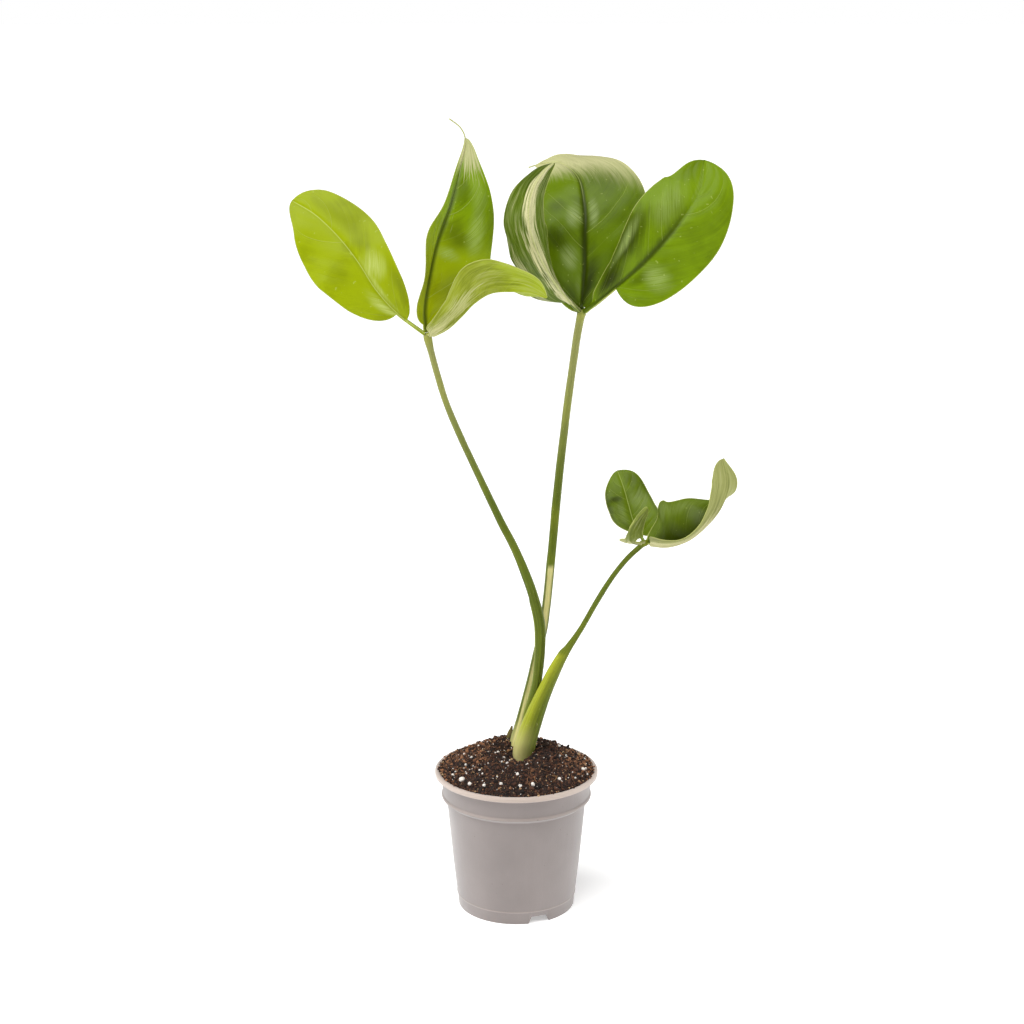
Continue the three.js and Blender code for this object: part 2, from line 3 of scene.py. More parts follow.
import bmesh
import bpy
import numpy as np
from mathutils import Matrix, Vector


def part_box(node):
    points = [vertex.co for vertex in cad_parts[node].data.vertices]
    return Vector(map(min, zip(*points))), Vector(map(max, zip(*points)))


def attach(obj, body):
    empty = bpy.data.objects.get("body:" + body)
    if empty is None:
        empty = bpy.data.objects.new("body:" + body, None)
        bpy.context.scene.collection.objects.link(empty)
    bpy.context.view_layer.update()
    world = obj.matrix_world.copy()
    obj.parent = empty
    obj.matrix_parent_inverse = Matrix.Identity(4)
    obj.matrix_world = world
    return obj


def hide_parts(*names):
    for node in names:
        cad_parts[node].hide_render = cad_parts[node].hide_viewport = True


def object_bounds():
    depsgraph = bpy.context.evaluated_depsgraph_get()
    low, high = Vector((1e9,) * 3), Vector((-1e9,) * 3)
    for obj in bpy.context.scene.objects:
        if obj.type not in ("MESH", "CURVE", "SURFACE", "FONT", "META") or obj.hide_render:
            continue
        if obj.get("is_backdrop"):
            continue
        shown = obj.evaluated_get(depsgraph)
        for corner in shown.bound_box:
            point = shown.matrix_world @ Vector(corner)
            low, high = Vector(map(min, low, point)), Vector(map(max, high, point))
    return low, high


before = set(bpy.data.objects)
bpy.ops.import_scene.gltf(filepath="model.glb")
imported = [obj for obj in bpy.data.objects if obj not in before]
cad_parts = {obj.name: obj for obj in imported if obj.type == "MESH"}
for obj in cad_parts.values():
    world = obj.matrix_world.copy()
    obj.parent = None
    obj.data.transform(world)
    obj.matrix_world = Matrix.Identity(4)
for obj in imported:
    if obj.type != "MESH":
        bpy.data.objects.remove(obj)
CAD_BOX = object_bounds()

bl_info = {
    "name": "Potted Aroid",
    "version": (1, 0, 0),
    "blender": (4, 5, 0),
    "location": "3D View > Sidebar > Plant",
    "description": "A house plant with nine glossy leaflets on three stalks, in a moulded pot",
    "category": "Object",
}

MM = 0.001

# Pot, in millimetres, with angles in degrees
LIP_HEIGHT = 4
COLLAR_RADIUS = 55
COLLAR_FOOT = 84.5
BODY_TOP_RADIUS = 51.2
FOOT_RADIUS = 42.9
FOOT_LINE = 9.5
BASE_HEIGHT = 5.5
NOTCH_COUNT = 3
NOTCH_ANGLE = -67
NOTCH_EDGE = 10.9
NOTCH_TOP_EDGE = 8.0
NOTCH_HEIGHT = 5.2
DRAIN_RADIUS = 4
DRAIN_CIRCLE = 29
DRAIN_INNER = 12
COLUMNS = 240

# Potting mix: its dome, the hollow in front of the stem and the hump behind it
MIX_EDGE = 103.6
MIX_RISE = 18
MIX_RADIUS = 56
HOLLOW_DEPTH = 12
HOLLOW_X = 1
HOLLOW_Y = -5
HOLLOW_SPREAD = 162
HUMP_HEIGHT = 1.8
HUMP_Y = 30
HUMP_SPREAD = 650

# Leaf blades
MARGIN = 0.35
BLADE = 0.6
TIP_RADIUS = 0.45
VEIN_BOW = 0.3

# Light and camera, in metres and degrees, and the lens and sensor in millimetres
LIGHT_TARGET = (0.0, 0.0, 0.32)
FLOOR_RADII = (0.25, 0.5, 1, 2, 4, 10, 25, 60)
CAMERA_PLACE = (-0.0032, -1.420, 0.6535)
CAMERA_TILT = 76
LENS = 72
SENSOR = 36

def srgb(red, green, blue):
    """A linear colour from the 0 to 255 numbers that a screen shows."""
    parts = np.array([red, green, blue]) / 255
    linear = np.where(parts <= 0.04045, parts / 12.92, ((parts + 0.055) / 1.055) ** 2.4)
    return tuple(float(c) for c in linear)


# Curves and surfaces

def smooth(x, low=0.0, high=1.0):
    """An S-shaped step from 0 at low to 1 at high: 3t^2 - 2t^3."""
    t = np.clip((np.asarray(x, float) - low) / (high - low), 0, 1)
    return t * t * (3 - 2 * t)


def trace(rows, t, slope=False):
    """The smooth curve through rows of numbers, at t from 0 to 1.

    Each stretch is a cubic whose slope at a row is half the difference of its two neighbours,
    and the row past each end is the mirror of the one before it."""
    rows = np.asarray(rows, float)
    padded = np.vstack([2 * rows[0] - rows[1], rows, 2 * rows[-1] - rows[-2]])
    s = np.clip(t, 0, 1) * (len(rows) - 1)
    i = np.minimum(s.astype(int), len(rows) - 2)
    f = (s - i)[:, None]
    before, start, stop, after = (padded[i + k] for k in range(4))
    leave, arrive = (stop - before) / 2, (after - start) / 2
    if slope:
        return ((6 * f ** 2 - 6 * f) * (start - stop) + (3 * f ** 2 - 4 * f + 1) * leave
                + (3 * f ** 2 - 2 * f) * arrive)
    return ((2 * f ** 3 - 3 * f ** 2 + 1) * start + (f ** 3 - 2 * f ** 2 + f) * leave
            + (3 * f ** 2 - 2 * f ** 3) * stop + (f ** 3 - f ** 2) * arrive)


def pace(rows, u):
    """Where on the curve through rows the length fraction u lies, and the curve's length."""
    t = np.linspace(0, 1, 401)
    steps = np.linalg.norm(np.diff(trace(rows, t)[:, :3], axis=0), axis=1)
    run = np.concatenate([[0], np.cumsum(steps)])
    return np.interp(np.asarray(u) * run[-1], run, t), run[-1]


def unit(vectors):
    return vectors / np.linalg.norm(vectors, axis=-1, keepdims=True)


def directions(spine, face, u):
    """Centre, along, above and across at length fractions u of a spine whose upper side faces along
    face."""
    t, length = pace(spine, u)
    centre = trace(spine, t)[:, :3]
    along = unit(trace(spine, t, slope=True)[:, :3])
    up = trace(face, t)
    up = unit(up - along * np.sum(up * along, axis=1, keepdims=True))
    return t, length, centre, along, up, np.cross(along, up)


def hills(x, y, size, seed):
    """Smooth random hills from -1 to 1: random heights on a square lattice of that size, eased between."""
    table = np.random.default_rng(seed).uniform(-1, 1, (64, 64))
    a, b = np.asarray(x) / size, np.asarray(y) / size
    i, j = np.floor(a).astype(int), np.floor(b).astype(int)
    f, g = smooth(a - i), smooth(b - j)
    corner = lambda di, dj: table[(i + di) % 64, (j + dj) % 64]
    low = corner(0, 0) * (1 - f) + corner(1, 0) * f
    high = corner(0, 1) * (1 - f) + corner(1, 1) * f
    return low * (1 - g) + high * g


class Shape:
    """Gathers grids and fans of points, in millimetres, into one closed mesh."""

    def __init__(self):
        self.points, self.faces, self.maps, self.slots, self.tones = [], [], [], [], []
        self.count = 0

    def grid(self, points, around=False, maps=None, slot=0):
        """Four-sided faces over a rows by columns array of points. around joins the last column to the
        first. maps gives pairs of numbers for each point, one pair for each map, with one more column if
        around."""
        rows, columns = points.shape[:2]
        ids = np.arange(rows * columns).reshape(rows, columns) + self.count
        if around:
            ids = np.concatenate([ids, ids[:, :1]], axis=1)
        if maps is None:
            u, v = np.meshgrid(np.linspace(0, 1, rows), np.linspace(0, 1, ids.shape[1]), indexing="ij")
            maps = [np.stack([u, v], -1)]
        self.put(points.reshape(-1, 3))
        self.faces.append(corners_of(ids))
        self.maps.append([corners_of(m) for m in maps])
        slots = slot if np.ndim(slot) else np.full(ids.shape[1] - 1, slot)
        self.slots.append(np.broadcast_to(slots, (rows - 1, ids.shape[1] - 1)).reshape(-1))
        return ids[:, :columns]

    def fan(self, ring, centre, maps=1, at=(0, 0)):
        """Closes a ring of points, given by their numbers, with triangles to a centre point."""
        self.faces.append(np.stack([ring, np.roll(ring, -1), np.full(len(ring), self.count)], -1))
        self.put(np.asarray(centre, float)[None])
        self.maps.append([np.broadcast_to(np.array(at, float), (len(ring), 3, 2))] * maps)
        self.slots.append(np.zeros(len(ring), int))

    def copies(self, points, tones, *faces):
        """Adds a small mesh many times: the points of every copy, a tone for each copy, and the faces of
        one."""
        count, each = points.shape[:2]
        first = (self.count + np.arange(count) * each)[:, None, None]
        self.put(points.reshape(-1, 3), np.repeat(np.broadcast_to(tones, count), each))
        for group in faces:
            every = (group[None] + first).reshape(-1, group.shape[1])
            self.faces.append(every)
            self.maps.append([np.zeros(every.shape + (2,))])
            self.slots.append(np.zeros(len(every), int))

    def put(self, points, tones=0.0):
        self.points.append(points)
        self.tones.append(np.broadcast_to(np.asarray(tones, float), len(points)))
        self.count += len(points)

    def piece(self, name, materials, slot_name, map_names=("Surface",), sharp=180, merge=False,
              replaces=()):
        """Makes the mesh and its object at the origin, turns its faces outwards, and hangs it on the
        frame."""
        points = np.concatenate(self.points) * MM
        order = sorted(range(len(self.faces)), key=lambda i: -self.faces[i].shape[1])
        split = np.concatenate([f[:, [0, k, k + 1]] for f in self.faces for k in range(1, f.shape[1] - 1)])
        a, b, c = (points[split[:, k]] for k in range(3))
        inward = np.sum(a * np.cross(b, c)) < 0
        turn = (lambda rows: rows[:, ::-1]) if inward else (lambda rows: rows)
        corners = np.concatenate([turn(self.faces[i]).reshape(-1) for i in order])
        sizes = np.concatenate([np.full(len(self.faces[i]), self.faces[i].shape[1]) for i in order])
        slots = np.concatenate([self.slots[i] for i in order])
        mesh = bpy.data.meshes.new(name)
        mesh.vertices.add(len(points))
        mesh.vertices.foreach_set("co", points.ravel().astype(np.float32))
        mesh.loops.add(len(corners))
        mesh.loops.foreach_set("vertex_index", corners.astype(np.int32))
        mesh.polygons.add(len(sizes))
        mesh.polygons.foreach_set("loop_start", (np.cumsum(sizes) - sizes).astype(np.int32))
        mesh.polygons.foreach_set("material_index", slots.astype(np.int32))
        mesh.update(calc_edges=True)
        for k, map_name in enumerate(map_names):
            layer = mesh.uv_layers.new(name=map_name)
            values = np.concatenate([turn(self.maps[i][k]).reshape(-1, 2) for i in order])
            layer.uv.foreach_set("vector", values.ravel().astype(np.float32))
        tone = mesh.attributes.new("tone", "FLOAT", "POINT")
        tone.data.foreach_set("value", np.concatenate(self.tones).astype(np.float32))
        if merge:
            rework(mesh, lambda work: bmesh.ops.remove_doubles(work, verts=work.verts, dist=2e-6))
        if mesh.validate():
            raise RuntimeError(f"{name} has faulty faces")
        mesh.shade_smooth()
        mesh.set_sharp_from_angle(angle=math.radians(sharp))
        for material in materials:
            mesh.materials.append(material)
        made = bpy.data.objects.new(name, mesh)
        bpy.context.scene.collection.objects.link(made)
        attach(made, "root")
        if replaces:
            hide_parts(*replaces)
        return made


def corners_of(table):
    """The four corner entries of every cell of a grid, as one row for each cell."""
    cells = np.stack([table[:-1, :-1], table[:-1, 1:], table[1:, 1:], table[1:, :-1]], axis=2)
    return cells.reshape((-1, 4) + table.shape[2:])


def rework(mesh, action):
    """Changes a mesh by one bmesh action."""
    work = bmesh.new()
    work.from_mesh(mesh)
    action(work)
    work.to_mesh(mesh)
    work.free()


def clear(*names):
    """Removes pieces of these names, so that an operator can be run again."""
    for name in names:
        old = bpy.data.objects.get(name)
        if old is not None:
            bpy.data.objects.remove(old)


# Materials

class Value:
    """A number or colour on a shader socket. Arithmetic on it adds Math nodes beside it."""

    def __init__(self, nodes, socket):
        self.nodes, self.socket = nodes, socket

    def _math(self, operation, *values):
        return self.nodes.node("ShaderNodeMath", {"operation": operation}, dict(enumerate(values)))

    def __add__(self, other):
        return self._math("ADD", self, other)

    __radd__ = __add__

    def __sub__(self, other):
        return self._math("SUBTRACT", self, other)

    def __rsub__(self, other):
        return self._math("SUBTRACT", other, self)

    def __mul__(self, other):
        return self._math("MULTIPLY", self, other)

    __rmul__ = __mul__

    def __truediv__(self, other):
        return self._math("DIVIDE", self, other)

    def __pow__(self, other):
        return self._math("POWER", self, other)

    def __abs__(self):
        return self._math("ABSOLUTE", self)

    def fraction(self):
        return self._math("FRACT", self)

    def cosine(self):
        return self._math("COSINE", self)

    def sine(self):
        return self._math("SINE", self)

    def above(self, other):
        return self._math("GREATER_THAN", self, other)

    def largest(self, other):
        return self._math("MAXIMUM", self, other)

    def step(self, low, high):
        """0 below low, 1 above high, and an S-shaped step between."""
        return self.nodes.node("ShaderNodeMapRange", {"interpolation_type": "SMOOTHSTEP"},
                               {"Value": self, "From Min": low, "From Max": high})


class Nodes:
    """The shader nodes of a material or of the surroundings, emptied first."""

    def __init__(self, owner):
        owner.use_nodes = True
        self.tree = owner.node_tree
        self.tree.nodes.clear()

    def put(self, socket, value):
        if isinstance(value, Value):
            self.tree.links.new(value.socket, socket)
        elif socket.type == "RGBA":
            socket.default_value = (*value[:3], 1.0)
        else:
            socket.default_value = value

    def node(self, kind, settings=None, inputs=None, output=0):
        """A node of that type: its settings first, then the values or links of its sockets."""
        made = self.tree.nodes.new(kind)
        for key, value in (settings or {}).items():
            setattr(made, key, value)
        for key, value in (inputs or {}).items():
            self.put(made.inputs[key], value)
        return Value(self, made.outputs[output])

    def end(self, kind, value):
        """The output node of that type, fed by the value."""
        self.put(self.tree.nodes.new(kind).inputs[0], value)

    def vector(self, x=0.0, y=0.0, z=0.0):
        return self.node("ShaderNodeCombineXYZ", None, {0: x, 1: y, 2: z})

    def parts(self, vector):
        outputs = self.node("ShaderNodeSeparateXYZ", None, {0: vector}).socket.node.outputs
        return [Value(self, outputs[k]) for k in range(3)]


class Paint(Nodes):
    """A material in the making: one Principled shader and the nodes that feed it."""

    def __init__(self, name, **fixed):
        self.material = bpy.data.materials.get(name) or bpy.data.materials.new(name)
        super().__init__(self.material)
        shader = self.node("ShaderNodeBsdfPrincipled")
        self.shader = shader.socket.node
        self.end("ShaderNodeOutputMaterial", shader)
        for socket, value in fixed.items():
            self.shader.inputs[socket.replace("_", " ")].default_value = value

    def surface(self, name="Surface"):
        """The two numbers that the piece's own map gives at a point."""
        return self.parts(self.node("ShaderNodeUVMap", {"uv_map": name}))[:2]

    def place(self):
        """The point in the object's own frame, in metres."""
        return self.node("ShaderNodeTexCoord", output=3)

    def tone(self):
        """The number that a crumb or a strand carries."""
        return self.node("ShaderNodeAttribute", {"attribute_name": "tone"}, output=2)

    def noise(self, vector, scale, detail=3.0, rough=0.5):
        """Soft random values between 0 and 1. A scale of 50 on a place in metres is about 20 mm a patch."""
        return self.node("ShaderNodeTexNoise", None,
                         {"Vector": vector, "Scale": scale, "Detail": detail, "Roughness": rough})

    def blend(self, factor, first, second):
        return self.node("ShaderNodeMix", {"data_type": "RGBA", "clamp_factor": True},
                         {0: factor, 6: first, 7: second}, output=2)

    def bump(self, height, distance, strength, under=None):
        inputs = {"Height": height, "Distance": distance, "Strength": strength}
        if under is not None:
            inputs["Normal"] = under
        return self.node("ShaderNodeBump", None, inputs)

    def finish(self, **sockets):
        for name, value in sockets.items():
            self.put(self.shader.inputs[name.replace("_", " ")], value)
        return self.material


def dim(colour, factor):
    return tuple(c * factor for c in colour[:3])


def toward(first, second, amount):
    return tuple(a + (b - a) * amount for a, b in zip(first[:3], second[:3]))


# Pot

def pot_section(pot):
    """The wall's section as corners of radius and height, from the plate's underside, out, up and back
    in, and how many of its corners lie outside."""
    rim, top, wall = pot.rim_radius / MM, pot.height / MM, pot.wall / MM
    lip_foot = top - LIP_HEIGHT
    foot = [(FOOT_RADIUS - 3, BASE_HEIGHT), (FOOT_RADIUS - 1.7, 0)]
    outside = [
        (FOOT_RADIUS, 0), (FOOT_RADIUS + 0.45, FOOT_LINE * 0.5), (FOOT_RADIUS + 0.9, FOOT_LINE - 0.6),
        (FOOT_RADIUS + 1.45, FOOT_LINE), (FOOT_RADIUS + 1.15, FOOT_LINE + 0.9), (46.7, 34), (49, 58),
        (BODY_TOP_RADIUS, COLLAR_FOOT - 2.5), (COLLAR_RADIUS - 1.6, COLLAR_FOOT - 0.4),
        (COLLAR_RADIUS + 0.1, COLLAR_FOOT + 0.4), (COLLAR_RADIUS + 0.15, COLLAR_FOOT + 1.9),
        (COLLAR_RADIUS - 0.8, COLLAR_FOOT + 2.9), (COLLAR_RADIUS - 0.3, COLLAR_FOOT + 9),
        (COLLAR_RADIUS + 0.3, lip_foot - 0.8), (rim - 1.4, lip_foot - 0.1),
        (rim, lip_foot + 0.6), (rim, top - 1), (rim - 0.9, top), (rim - 2.7, top), (rim - 3.7, top - 1)]
    inside = [
        (COLLAR_RADIUS - wall, lip_foot - 1), (COLLAR_RADIUS - wall - 0.7, COLLAR_FOOT + 1.6),
        (BODY_TOP_RADIUS - wall, COLLAR_FOOT - 3), (FOOT_RADIUS - 0.8, BASE_HEIGHT + 2.6),
        (FOOT_RADIUS - 2, BASE_HEIGHT + wall)]
    return np.array(foot + outside + inside, float), len(foot) + len(outside)


def eased(section, reach=0.35):
    """Every inner corner of a section becomes a short curve: where it starts, its middle and where it
    ends."""
    corner, before, after = section[1:-1], section[:-2], section[2:]

    def cut(other):
        return np.minimum(0.4, reach / np.linalg.norm(other - corner, axis=1))[:, None] * (other - corner)

    start, stop = corner + cut(before), corner + cut(after)
    middle = (start + 2 * corner + stop) / 4
    return np.vstack([section[:1], np.stack([start, middle, stop], 1).reshape(-1, 2), section[-1:]])


def pot_columns():
    """Angles of the wall's columns: evenly spaced, with more where a foot notch begins and ends."""
    even = np.arange(COLUMNS) * 360 / COLUMNS
    edges = [NOTCH_ANGLE + 360 / NOTCH_COUNT * i + side * (edge + step) for i in range(NOTCH_COUNT)
             for side in (-1, 1) for edge in (NOTCH_EDGE, NOTCH_TOP_EDGE) for step in (-0.12, 0.12)]
    return np.unique(np.round(np.concatenate([even, np.mod(edges, 360)]), 3))


def notch_lift(angles):
    """How high the foot's lower edge stands at each angle: notches with sloping sides."""
    pitch = 360 / NOTCH_COUNT
    apart = np.abs(np.mod(angles - NOTCH_ANGLE + pitch / 2, pitch) - pitch / 2)
    return NOTCH_HEIGHT * np.clip((NOTCH_EDGE - apart) / (NOTCH_EDGE - NOTCH_TOP_EDGE), 0, 1)


def polar(radius, angles, height):
    """Points at that radius, angle in degrees and height, spread against each other."""
    radius, angles, height = np.broadcast_arrays(radius, np.radians(angles), height)
    return np.stack([radius * np.cos(angles), radius * np.sin(angles), height], -1)


def plate(shape, angles, outer, level):
    """One side of the pot's floor: a ring round the middle hole, and eight patches with a hole in each.
    A patch runs straight from its outline to its hole. Returns the holes' edges."""
    wrapped = polar(np.linspace(DRAIN_RADIUS, DRAIN_INNER, 4)[:, None], angles[None], level)
    shape.grid(wrapped, around=True)
    edges = [wrapped[0]]
    for k in range(8):
        middle = 45 * k
        turned = np.mod(angles - middle + 180, 360) - 180
        arc = np.sort(turned[np.abs(turned) <= 22.5 + 1e-6]) + middle
        sides = np.linspace(outer, DRAIN_INNER, 12)
        outline = np.concatenate([
            polar(outer, arc, level)[:-1], polar(sides, arc[-1], level)[:-1],
            polar(DRAIN_INNER, arc[::-1], level)[:-1], polar(sides[::-1], arc[0], level)[:-1]])
        centre = polar(DRAIN_CIRCLE, middle, level)
        hole = centre + DRAIN_RADIUS * unit(outline - centre)
        share = np.array([0, 0.35, 0.7, 1])[:, None, None]
        shape.grid(outline * (1 - share) + hole * share, around=True)
        edges.append(hole)
    return edges


def build_pot(pot):
    """The wall is the section turned about Z, with its foot lifted at the notches. Two plates close it."""
    section, outer = pot_section(pot)
    angles = pot_columns()
    rows = eased(section)
    number = np.arange(len(rows))
    low_limit = np.where(number <= 3, BASE_HEIGHT, FOOT_LINE)
    share = np.where(number < 1 + 3 * (outer - 1), np.clip(1 - rows[:, 1] / low_limit, 0, 1), 0)
    height = rows[:, 1][:, None] + share[:, None] * notch_lift(angles)[None]
    shape = Shape()
    shape.grid(polar(rows[:, 0][:, None], angles[None], height), around=True)
    below = plate(shape, angles, section[0, 0], BASE_HEIGHT)
    above = plate(shape, angles, section[-1, 0], BASE_HEIGHT + pot.wall / MM)
    for low, high in zip(below, above):
        shape.grid(np.stack([low, high]), around=True)
    made = shape.piece("moulded_pot", [pot_paint(pot)], "pot_plastic", sharp=38, merge=True,
                       replaces=["pot"])
    rework(made.data, lambda work: bmesh.ops.recalc_face_normals(work, faces=work.faces))


def pot_paint(pot):
    """Matt recycled plastic: a warm grey body, a paler pinkish lip, fine grain, faint flow marks, a painted
    highlight along the ridges, soil dust under the lip, and mottled darker colour at the very bottom."""
    paint = Paint("Moulded pot plastic", IOR=1.46, Sheen_Weight=0.45, Sheen_Roughness=0.5)
    place = paint.place()
    x, y, z = paint.parts(place)
    height = z / MM
    lip_foot = pot.height / MM - LIP_HEIGHT
    cloud = paint.noise(place, 22, 4, 0.55)
    grain = paint.noise(place, 900, 2, 0.6)
    flow = paint.noise(paint.vector(x * 60, y * 60, z * 9), 1, 3, 0.6)
    body = paint.blend(cloud.step(0.3, 0.72), dim(pot.body_colour, 0.93), dim(pot.body_colour, 1.06))
    body = paint.blend(flow.step(0.5, 0.75) * 0.18, body, dim(pot.body_colour, 1.25))
    # Painted highlight: a paler line along the collar's ridge and along the foot line.
    collar_highlight = 1 - abs(height - (COLLAR_FOOT + 1.7)).step(0.3, 1.5)
    foot_highlight = 1 - abs(height - FOOT_LINE).step(0.1, 0.9)
    body = paint.blend(collar_highlight.largest(foot_highlight) * 0.3, body, pot.rim_colour)
    lip = height.step(lip_foot - 0.6, lip_foot + 0.4)
    body = paint.blend(lip, body, paint.blend(cloud, dim(pot.rim_colour, 0.95), pot.rim_colour))
    dust = paint.noise(place, 130, 5, 0.7).step(0.6, 0.78) * height.step(COLLAR_FOOT + 3.5, lip_foot + 3)
    body = paint.blend(dust * 0.28, body, srgb(120, 96, 78))
    specks = paint.noise(place, 520, 1, 0.4).step(0.79, 0.81)
    body = paint.blend(specks * 0.5, body, srgb(74, 58, 48))
    # Mottled darker colour in the lowest 6 mm of the wall.
    bottom_darkening = (1 - height.step(0, 6)) * paint.noise(place, 90, 4, 0.6)
    body = paint.blend(bottom_darkening * 0.35, body, srgb(120, 108, 100))
    rough = 0.5 + grain * 0.12 + dust * 0.15
    bump = paint.bump(grain, 0.00012, 0.55)
    bump = paint.bump(flow, 0.0006, 0.25, bump)
    return paint.finish(Base_Color=body, Roughness=rough, Normal=bump)


# Potting mix

def lumps(x, y):
    """The slow unevenness of the heap: a product and a sum of sines."""
    return 0.7 * np.sin(0.62 * x + 0.3) * np.cos(0.55 * y) + 0.5 * np.sin(0.31 * x - 0.47 * y + 1.2)


def mix_height(x, y):
    """A low dome with a hollow in front of the stem, a rise behind it, and slow lumps that fade at the
    wall."""
    r = np.hypot(x, y) / MIX_RADIUS
    hollow = HOLLOW_DEPTH * np.exp(-((x - HOLLOW_X) ** 2 + (y - HOLLOW_Y) ** 2) / HOLLOW_SPREAD)
    hump = HUMP_HEIGHT * np.exp(-(x * x + (y - HUMP_Y) ** 2) / HUMP_SPREAD)
    return MIX_EDGE + MIX_RISE * (1 - r * r) - hollow + hump + lumps(x, y) * smooth((1 - r) * 4)


def mix_surface(x, y):
    """The dome with crumbs of three sizes: the folded hills of each size, so that the hollows are
    narrow."""
    r = np.hypot(x, y) / MIX_RADIUS
    rough = (1.5 * (0.55 - np.abs(hills(x, y, 5.2, 3))) + 0.95 * (0.5 - np.abs(hills(x + 7, y, 2.7, 4)))
             + 0.5 * (0.5 - np.abs(hills(x, y + 3, 1.35, 5))))
    return mix_height(x, y) + rough * (0.35 + 0.65 * smooth((1 - r) * 14))


def build_mix(mix):
    """A turned solid that fills the pot, whose top is the crumbly dome."""
    angles = np.arange(330) * 360 / 330
    radii = MIX_RADIUS * np.sqrt(np.linspace(0, 1, 170))[1:]
    radii = np.sort(np.concatenate([radii, np.linspace(0.4, radii[0] * 0.9, 5)]))
    top = polar(radii[::-1, None], angles[None], 0.0)
    top[..., 2] = mix_surface(top[..., 0], top[..., 1])
    side = np.array([
        (FOOT_RADIUS - 2.3, BASE_HEIGHT + 1.5), (FOOT_RADIUS - 1.2, BASE_HEIGHT + 2.8),
        (BODY_TOP_RADIUS - 1.6, COLLAR_FOOT - 3), (COLLAR_RADIUS - 2.3, COLLAR_FOOT + 1.7),
        (COLLAR_RADIUS - 1.7, MIX_EDGE - 3.3), (MIX_RADIUS - 0.8, MIX_EDGE - 1)])
    wall = polar(side[:, 0, None], angles[None], side[:, 1, None])
    shape = Shape()
    ids = shape.grid(np.concatenate([wall, top]), around=True)
    shape.fan(ids[0][::-1], (0, 0, side[0, 1]))
    shape.fan(ids[-1], (0, 0, float(mix_surface(0, 0))))
    shape.piece("peat_heap", [peat_paint(mix, "Peat heap", False)], "potting_mix", replaces=["potting_mix"])


def peat_paint(mix, name, own_tone):
    """Dark moist peat with reddish and ochre fibres and grains. Crumbs carry a tone of their own."""
    paint = Paint(name, IOR=1.4)
    place = paint.place()
    x, y, _ = paint.parts(place)
    # A mask that is 1 towards the back on both sides and 0 in a strip through the middle and at the front;
    # the mix is paler where it is 1.
    dry = abs(x - 0.008).step(0.01, 0.042) * y.step(-0.045, 0.005)
    fine = paint.noise(place, 520, 4, 0.65)
    patch = paint.noise(place, 90, 3, 0.6)
    warm = paint.noise(place, 300, 3, 0.7)
    colour = paint.blend(fine.step(0.4, 0.72), mix.dark_colour, mix.peat_colour)
    colour = paint.blend((warm + dry * 0.1).step(0.6, 0.72) * 0.6, colour, mix.fibre_colour)
    colour = paint.blend((patch - dry * 0.12).step(0.5, 0.7) * 0.6, colour, dim(mix.dark_colour, 0.5))
    if own_tone:
        tone = paint.tone()
        red = paint.blend(fine, dim(mix.peat_colour, 0.7), srgb(94, 57, 39))
        colour = paint.blend(tone.step(0.4, 0.7), colour, red)
        light = tone + dry * 0.28 + (warm - 0.5) * 0.5
        colour = paint.blend(light.step(0.86, 1.02), colour, mix.fibre_colour)
        colour = paint.blend((1 - tone.step(0.15, 0.5)) * 0.85, colour, dim(mix.dark_colour, 0.45))
        colour = paint.blend(tone.step(0.965, 0.98) * 0.7, colour, srgb(206, 176, 132))
    grit = paint.noise(place, 700, 1, 0.3).step(0.74, 0.78)
    colour = paint.blend(grit * 0.4, colour, srgb(170, 140, 116))
    bump = paint.bump(fine, 0.0005, 0.8)
    return paint.finish(Base_Color=colour, Roughness=0.62 + fine * 0.35, Normal=bump)


def scatter(count, seed, reach):
    """Random places evenly spread over the heap."""
    random = np.random.default_rng(seed)
    radius, angle = reach * np.sqrt(random.uniform(0, 1, count)), random.uniform(0, 2 * np.pi, count)
    return random, radius * np.cos(angle), radius * np.sin(angle)


def turns(random, count):
    """Random turns as matrices, from random unit quaternions."""
    w, x, y, z = unit(random.normal(size=(count, 4))).T
    rows = [[1 - 2 * (y * y + z * z), 2 * (x * y - w * z), 2 * (x * z + w * y)],
            [2 * (x * y + w * z), 1 - 2 * (x * x + z * z), 2 * (y * z - w * x)],
            [2 * (x * z - w * y), 2 * (y * z + w * x), 1 - 2 * (x * x + y * y)]]
    return np.moveaxis(np.array(rows), -1, 0)


def pebbles(centres, radii, random, rings=3, corners=6, rough=0.28, stretch=0.35, tones=0.0):
    """Rough grains: spheres of rings and corners, whose radius wanders at each point, stretched and
    turned."""
    count = len(centres)
    polar_angle = np.linspace(0, np.pi, rings + 2)[1:-1, None]
    angle = np.arange(corners)[None] * 2 * np.pi / corners + 0.5 * np.arange(rings)[:, None]
    ball = np.stack([np.sin(polar_angle) * np.cos(angle), np.sin(polar_angle) * np.sin(angle),
                     np.cos(polar_angle) + 0 * angle], -1).reshape(-1, 3)
    ball = np.concatenate([ball, [[0, 0, 1], [0, 0, -1]]])
    wander = 1 + rough * random.uniform(-1, 1, (count, len(ball), 1))
    axes = 1 + stretch * random.uniform(-1, 1, (count, 1, 3))
    points = np.einsum("nij,nvj->nvi", turns(random, count), ball[None] * wander * axes)
    points = centres[:, None] + points * np.asarray(radii)[:, None, None]
    ids = np.arange(rings * corners).reshape(rings, corners)
    quads = corners_of(np.concatenate([ids, ids[:, :1]], axis=1))
    top, low = rings * corners, rings * corners + 1
    caps = np.concatenate([
        np.stack([np.roll(ids[0], -1), ids[0], np.full(corners, top)], -1),
        np.stack([ids[-1], np.roll(ids[-1], -1), np.full(corners, low)], -1)])
    shape = Shape()
    shape.copies(points, tones, quads, caps)
    return shape


